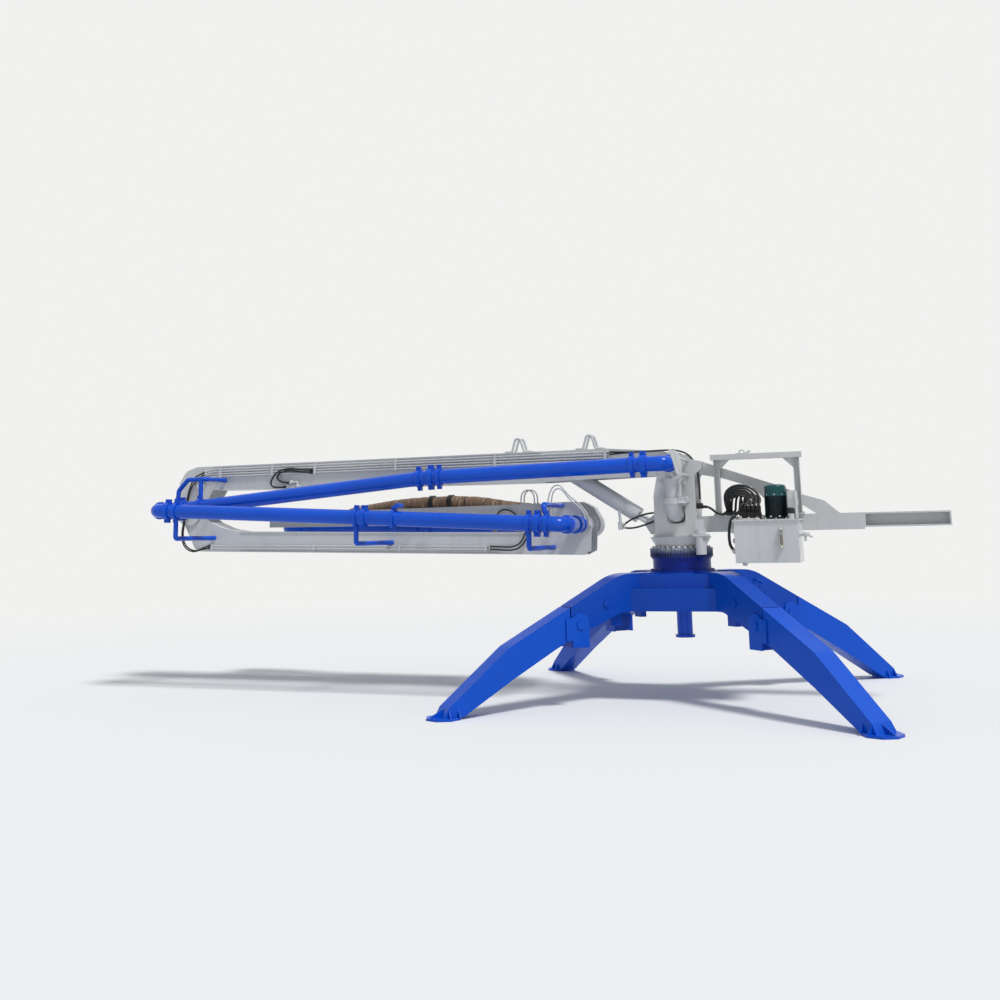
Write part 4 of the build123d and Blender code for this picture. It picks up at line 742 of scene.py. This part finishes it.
# Motor: grille on the cowl and its screws, foot bolts and supply cable
grille = []
for radius in (26, 40, 54):
    ring = turned([(radius, MOTOR_TOP - 1), (radius, MOTOR_TOP + 2), (radius - 5, MOTOR_TOP + 2),
                   (radius - 5, MOTOR_TOP - 0.5)], 36)
    ring.data.transform(Matrix.Translation(at(*MOTOR, 0)))
    grille.append(ring)
hand_over(joined(grille), "motor_cowl_grille", "turret", green_enamel)
motor_bolts = [(at(MOTOR[0] + x, MOTOR[1] + y, LID_TOP + 18), UP) for x, y in ring_of(99, range(22, 360, 45))]
hand_over(set_at(hex_bolt(15, 10), motor_bolts), "motor_foot_bolts", "turret", zinc)
cowl_spots = [(at(MOTOR[0] + x, MOTOR[1] + y, COWL_LOW + 14), (x, y, 0))
              for x, y in ring_of(MOTOR_R - 1, (225, 270, 315, 0, 180, 135))]
hand_over(set_at(turned([(7, -1), (7, 2), (5, 4), (2, 4)], 12), cowl_spots), "cowl_screws", "turret", zinc)
hose_set("motor_cable", "turret",
         [[(970, -205, 1600), (1000, -170, 1585), (1004, -120, 1612), (960, -92, 1622), (860, -88, 1620)]],
         18, cast_iron)

# Guard frame: fitting on its top rail, gussets under it
shackle = smooth_run([(594, -95, 2160), (590, -95, 2184), (612, -95, 2196), (640, -95, 2190), (644, -95, 2160)],
                     14)
plate = block((560, -116, 2158), (676, -74, 2168), 2.5)
wing = cut_plate([(650, 2166), (700, 2172), (690, 2192), (664, 2186)], 8, 2, -100)
painted("guard_rail_fitting", "turret", shackle, plate, wing)
gussets = [cut_plate(outline, 8, 2, -99) for outline in ([(408, 2108), (498, 2108), (408, 2020)],
                                                         [(1067, 2108), (1067, 2020), (977, 2108)])]
painted("guard_frame_gussets", "turret", *gussets)
shoes = [block((x - 46, -124, 1604), (x + 46, -62, 1614)) for x in (380, 1095)]
shoe_bolts = set_at(hex_bolt(17, 10), [(at(x + side, -70, 1614), UP) for x in (380, 1095) for side in (-37, 37)])
painted("guard_frame_feet", "turret", *shoes, shoe_bolts)

# ---------------------------------------------------------------- delivery line trim

def along_the_hinge(*points):
    """Spots for rings whose axis is a hinge's."""
    return [(at(*point), NEAR) for point in points]


# Rings pressed on the pipe ends next to a swivel, and the couplings on the stub into the hollow pin
bead = turned([(70.2, -9), (76, -8), (79, -5), (79, 5), (76, 8), (70.2, 9)], 40)
(knuckle_1_x, knuckle_1_z), (knuckle_2_x, knuckle_2_z) = KNUCKLE_1, KNUCKLE_2
for line, body, finish, points in (
        ("riser", "turret", white_enamel, [(0, RISER_Y - 78, FOOT_PIN_Z)]),
        ("boom_1", "boom_1", pipe_enamel,
         [(0, PIPE_1_Y + 80, FOOT_PIN_Z), (knuckle_1_x, PIPE_1_Y - 78, knuckle_1_z)]),
        ("boom_2", "boom_2", pipe_enamel,
         [(knuckle_1_x, PIPE_2_Y + 80, knuckle_1_z), (knuckle_2_x, PIPE_2_Y + 96, knuckle_2_z),
          (knuckle_2_x, -170, knuckle_2_z)]),
        ("boom_3", "boom_3", pipe_enamel, [(knuckle_2_x, PIPE_3_Y - 80, knuckle_2_z)])):
    beads = set_at(bead, along_the_hinge(*points), keep=True)
    hand_over(beads, "pipe_beads_" + line, body, finish, 30)
bpy.data.objects.remove(bead)
coupling = turned([(70.2, -42), (78, -41), (84, -34), (84, -5), (79, -3), (79, 3), (84, 5), (84, 34), (78, 41),
                   (70.2, 42)], 40)
hand_over(set_at(coupling, along_the_hinge((knuckle_2_x, -575, knuckle_2_z), (knuckle_2_x, -300, knuckle_2_z))),
          "stub_couplings", "boom_2", pipe_enamel, 30)

nipple = turned([(6, -2), (6, 3), (4, 5), (4, 12), (5.5, 14), (3.5, 18), (2, 18)], 10)
for body, spots in {
    "turret": [(at(0, -374, FOOT_PIN_Z + 89), UP)],
    "boom_1": [(at(knuckle_1_x, -610, knuckle_1_z + 89), UP), (at(-1070, -148, 2067), NEAR)],
    "boom_2": [(at(knuckle_2_x, 419, knuckle_2_z + 89), UP)],
}.items():
    hand_over(set_at(nipple, spots, keep=True), "grease_nipples_" + body, body, zinc)
bpy.data.objects.remove(nipple)

# ---------------------------------------------------------------- wrapped end hose

HOSE_ROUTE = [(-4329.5, 705, 1595), (-4080, 705, 1595), (-3750, 631, 1722), (-3400, 521, 1760), (-2950, 431, 1808),
              (-2230, 431, 1812), (-1830, 431, 1736), (-1600, 431, 1712)]
HOSE_OUTSIDE = 142
HOSE_SIDES = 40
LAP_WIDTH = 118          # how far one turn of the wrapping advances
LASHED_AT = (0.10, 0.42, 0.86, 1.32, 1.70, 2.08, 2.46)    # metres along the hose, and once more near its end


def wound_layout(mesh, along):
    """UVs in metres, along the hose and round it, for the weave to follow."""
    layout = mesh.uv_layers.new(name="wound")
    for polygon in mesh.polygons:
        corners = [divmod(mesh.loops[i].vertex_index, HOSE_SIDES) for i in polygon.loop_indices]
        wraps = max(k for _, k in corners) - min(k for _, k in corners) > HOSE_SIDES // 2
        for loop, (ring, k) in zip(polygon.loop_indices, corners):
            turn = (k + HOSE_SIDES if wraps and k < HOSE_SIDES // 2 else k) / HOSE_SIDES
            layout.data[loop].uv = (along[ring], turn * math.pi * HOSE_OUTSIDE * MM)


def wrapped_hose():
    """The end hose in its wound sacking: lapped turns, slack wrinkles and an open end."""
    obj = smooth_run(HOSE_ROUTE, HOSE_OUTSIDE, HOSE_SIDES // 2 - 2, 36, capped=False)
    mesh = obj.data
    points = [v.co.copy() for v in mesh.vertices]
    rings = len(points) // HOSE_SIDES
    centres = [sum(points[r * HOSE_SIDES:(r + 1) * HOSE_SIDES], Vector()) / HOSE_SIDES for r in range(rings)]
    along = [0.0]
    for a, b in zip(centres, centres[1:]):
        along.append(along[-1] + (b - a).length)
    lashed = [*LASHED_AT, along[-1] - 0.12]
    shade = mesh.color_attributes.new("lap", "FLOAT_COLOR", "POINT")
    for index, point in enumerate(points):
        ring, k = divmod(index, HOSE_SIDES)
        s, share = along[ring], k / HOSE_SIDES
        turn = (s / (LAP_WIDTH * MM) + share) % 1.0
        slack = noise.noise(Vector((s * 14, share * 5, 3))) * 1.6
        slack += noise.noise(Vector((s * 46, share * 16, 9))) * 0.8
        tight = max(math.exp(-((s - q) / 0.012) ** 2) for q in lashed)
        rise = (3.2 * turn + slack) * (1 - tight) - 3.0 * tight
        mesh.vertices[index].co = point + (point - centres[ring]).normalized() * min(rise, 3.6) * MM
        # The place in each turn, from which the wrap's material paints shade under the lap
        shade.data[index].color = (turn, 1 - turn, 1 - turn, 1)
    wound_layout(mesh, along)
    pick(obj)
    wall = obj.modifiers.new("wall", "SOLIDIFY")
    wall.thickness = 8 * MM
    wall.offset = -1
    bpy.ops.object.modifier_apply(modifier="wall")
    put_on(obj, sacking)
    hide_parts("end_hose")
    spots = []
    for q in lashed:
        ring = min(range(rings), key=lambda r: abs(along[r] - q))
        spots.append((centres[ring], centres[min(ring + 1, rings - 1)] - centres[ring - 1]))
    hand_over(set_at(lashing(), spots), "hose_lashings", "boom_3", cast_iron)
    hand_over(obj, "wrapped_end_hose", "boom_3", None, 50)


def lashing():
    """Two turns of wire round the wrapping, with their knot."""
    bpy.ops.object.select_all(action="DESELECT")
    bpy.ops.mesh.primitive_torus_add(major_radius=0.0705, minor_radius=0.0028, major_segments=40, minor_segments=6)
    first = bpy.context.object
    second = first.copy()
    second.data = first.data.copy()
    second.data.transform(Matrix.Translation((0, 0, 5 * MM)))
    scene.collection.objects.link(second)
    knot = turned([(5, 70), (8, 72), (8, 76), (3, 79)], 10)
    knot.data.transform(Matrix.Rotation(math.radians(90), 4, "X"))
    return joined([first, second, knot])


wrapped_hose()

# ---------------------------------------------------------------- base trim

def off_leg(angle, out, left, z):
    """A point in millimetres that far out along a leg and off to its left, at a height."""
    a = math.radians(angle)
    return out * math.cos(a) - left * math.sin(a), out * math.sin(a) + left * math.cos(a), z


bars = [smooth_run([off_leg(angle, out, left * side, z) for out, left, z in
                    ((745, 94, 1010), (745, 128, 1012), (752, 138, 1010), (800, 138, 990), (812, 128, 984),
                     (812, 94, 982))], 15) for angle, side in ((45, -1), (135, 1), (225, -1), (315, 1))]
hand_over(joined(bars), "leg_handles", "base", blue_enamel)

# ---------------------------------------------------------------- weld seams

def weld_seams(name, body, runs, width):
    """Fillet beads along straight joints, a little uneven as a hand-held torch leaves them."""
    made = []
    for a, b in runs:
        start, end = Vector(a), Vector(b)
        count = max(4, int((end - start).length / 60))
        points = [tuple(start.lerp(end, i / count)) for i in range(count + 1)]
        made.append(smooth_run(points, width, facets=2, steps=6))
    obj = joined(made)
    for vertex in obj.data.vertices:
        vertex.co += noise.noise_vector(vertex.co * 45) * 0.9 * MM
    hand_over(obj, name, body, white_enamel, 60)


weld_seams("turret_welds", "turret",
           [((-200, TURRET_FACE - 1, FLOOR_TOP + 1), (178, TURRET_FACE - 1, FLOOR_TOP + 1)),
            ((183, -99, 1462), (183, -99, 1604)), ((183, -98, 1606), (183, 98, 1606)),
            ((252, -61, 2035), (252, -61, 2104))], 10)
weld_seams("boom_1_welds", "boom_1",
           [((-5000, BOOM_1_FACE, 2020), (-5000, BOOM_1_FACE, 2130)),
            ((-1300, BOOM_1_FACE, 1978), (-1300, BOOM_1_FACE, 2140)),
            ((-4990, BOOM_1_FACE - 1, 2249), (-1310, BOOM_1_FACE - 1, 2249))], 7)
weld_seams("boom_2_welds", "boom_2",
           [((-4660, BOOM_2_FACE, 1364), (-4660, BOOM_2_FACE, 1548)),
            ((-1500, BOOM_2_FACE, 1300), (-1500, BOOM_2_FACE, 1476)),
            ((-4650, BOOM_2_FACE - 1, 1549), (-1510, BOOM_2_FACE - 1, 1478))], 7)


# ---------------------------------------------------------------- studio

def studio():
    """Pale floor that fades into a pale surround, soft even light and one soft key light."""
    bpy.ops.object.select_all(action="DESELECT")
    middle = (SLEW_X - 1.5, 0, 0)
    bpy.ops.mesh.primitive_circle_add(vertices=96, radius=60, fill_type="NGON", location=middle)
    floor = bpy.context.object
    floor.name = "studio_floor"
    bpy.ops.object.transform_apply(location=True)
    material = bpy.data.materials.new("pale_studio_floor")
    material.use_nodes = True
    tree = material.node_tree
    tree.nodes.clear()
    place = tree.nodes.new("ShaderNodeTexCoord").outputs["Object"]
    away = add(tree, "VectorMath", {0: place, 1: middle}, "Value", operation="DISTANCE")
    fade = add(tree, "MapRange", {0: away, 1: FADE_FROM, 2: FADE_TO})
    matt = add(tree, "BsdfDiffuse", {"Color": "#E4E4E2"})
    glow = add(tree, "Emission", {"Color": LIT_PALE, "Strength": 1.0})
    feed(tree, tree.nodes.new("ShaderNodeOutputMaterial"), {0: add(tree, "MixShader", {0: fade, 1: matt, 2: glow})})
    floor.data.materials.append(material)

    world = bpy.data.worlds.new("pale_surround")
    scene.world = world
    world.use_nodes = True
    tree = world.node_tree
    tree.nodes.clear()
    path = tree.nodes.new("ShaderNodeLightPath")
    seen = path.outputs["Is Camera Ray"]
    for ray in ("Is Glossy Ray", "Is Transmission Ray"):
        seen = add(tree, "Math", {0: seen, 1: path.outputs[ray]}, operation="ADD", use_clamp=True)
    light = add(tree, "Background", {"Color": "#EDF2FA", "Strength": 0.52})
    back = add(tree, "Background", {"Color": LIT_PALE, "Strength": 1.0})
    feed(tree, tree.nodes.new("ShaderNodeOutputWorld"), {0: add(tree, "MixShader", {0: seen, 1: light, 2: back})})

    key = bpy.data.lights.new("key", "SUN")
    key.energy = 2.4
    key.angle = math.radians(11)
    lamp = bpy.data.objects.new("key", key)
    lamp.rotation_euler = Vector((0.50, -0.24, 0.92)).to_track_quat("Z", "Y").to_euler()
    scene.collection.objects.link(lamp)


CAMERA_PLACE = (SLEW_X + 1.93, -10.46, 1.47)
CAMERA_PITCH, CAMERA_ROLL, CAMERA_YAW = (math.radians(d) for d in (10.33, -1.15, -19.35))
FRAME_PIXELS = 1000
FOCAL_PIXELS = 1109.0
CENTRE_X, CENTRE_Y = 500.0, 333.0    # where the lens's axis meets the photograph


def camera():
    """The photograph's viewpoint: place, turn, focal length and the shift of its crop."""
    view = bpy.data.cameras.new("view")
    view.sensor_width = 36
    view.lens = view.sensor_width * FOCAL_PIXELS / FRAME_PIXELS
    view.shift_x = 0.5 - CENTRE_X / FRAME_PIXELS
    view.shift_y = CENTRE_Y / FRAME_PIXELS - 0.5
    view.clip_end = 200
    obj = bpy.data.objects.new("view", view)
    forward = Vector((math.sin(CAMERA_YAW) * math.cos(CAMERA_PITCH), math.cos(CAMERA_YAW) * math.cos(CAMERA_PITCH),
                      math.sin(CAMERA_PITCH)))
    side = Vector((math.cos(CAMERA_YAW), -math.sin(CAMERA_YAW), 0))
    up = side.cross(forward)
    right = side * math.cos(CAMERA_ROLL) + up * math.sin(CAMERA_ROLL)
    top = up * math.cos(CAMERA_ROLL) - side * math.sin(CAMERA_ROLL)
    turn = Matrix((right, top, -forward)).transposed().to_4x4()
    obj.matrix_world = Matrix.Translation(CAMERA_PLACE) @ turn
    scene.collection.objects.link(obj)
    scene.camera = obj


studio()
camera()
scene.view_settings.view_transform = "Standard"
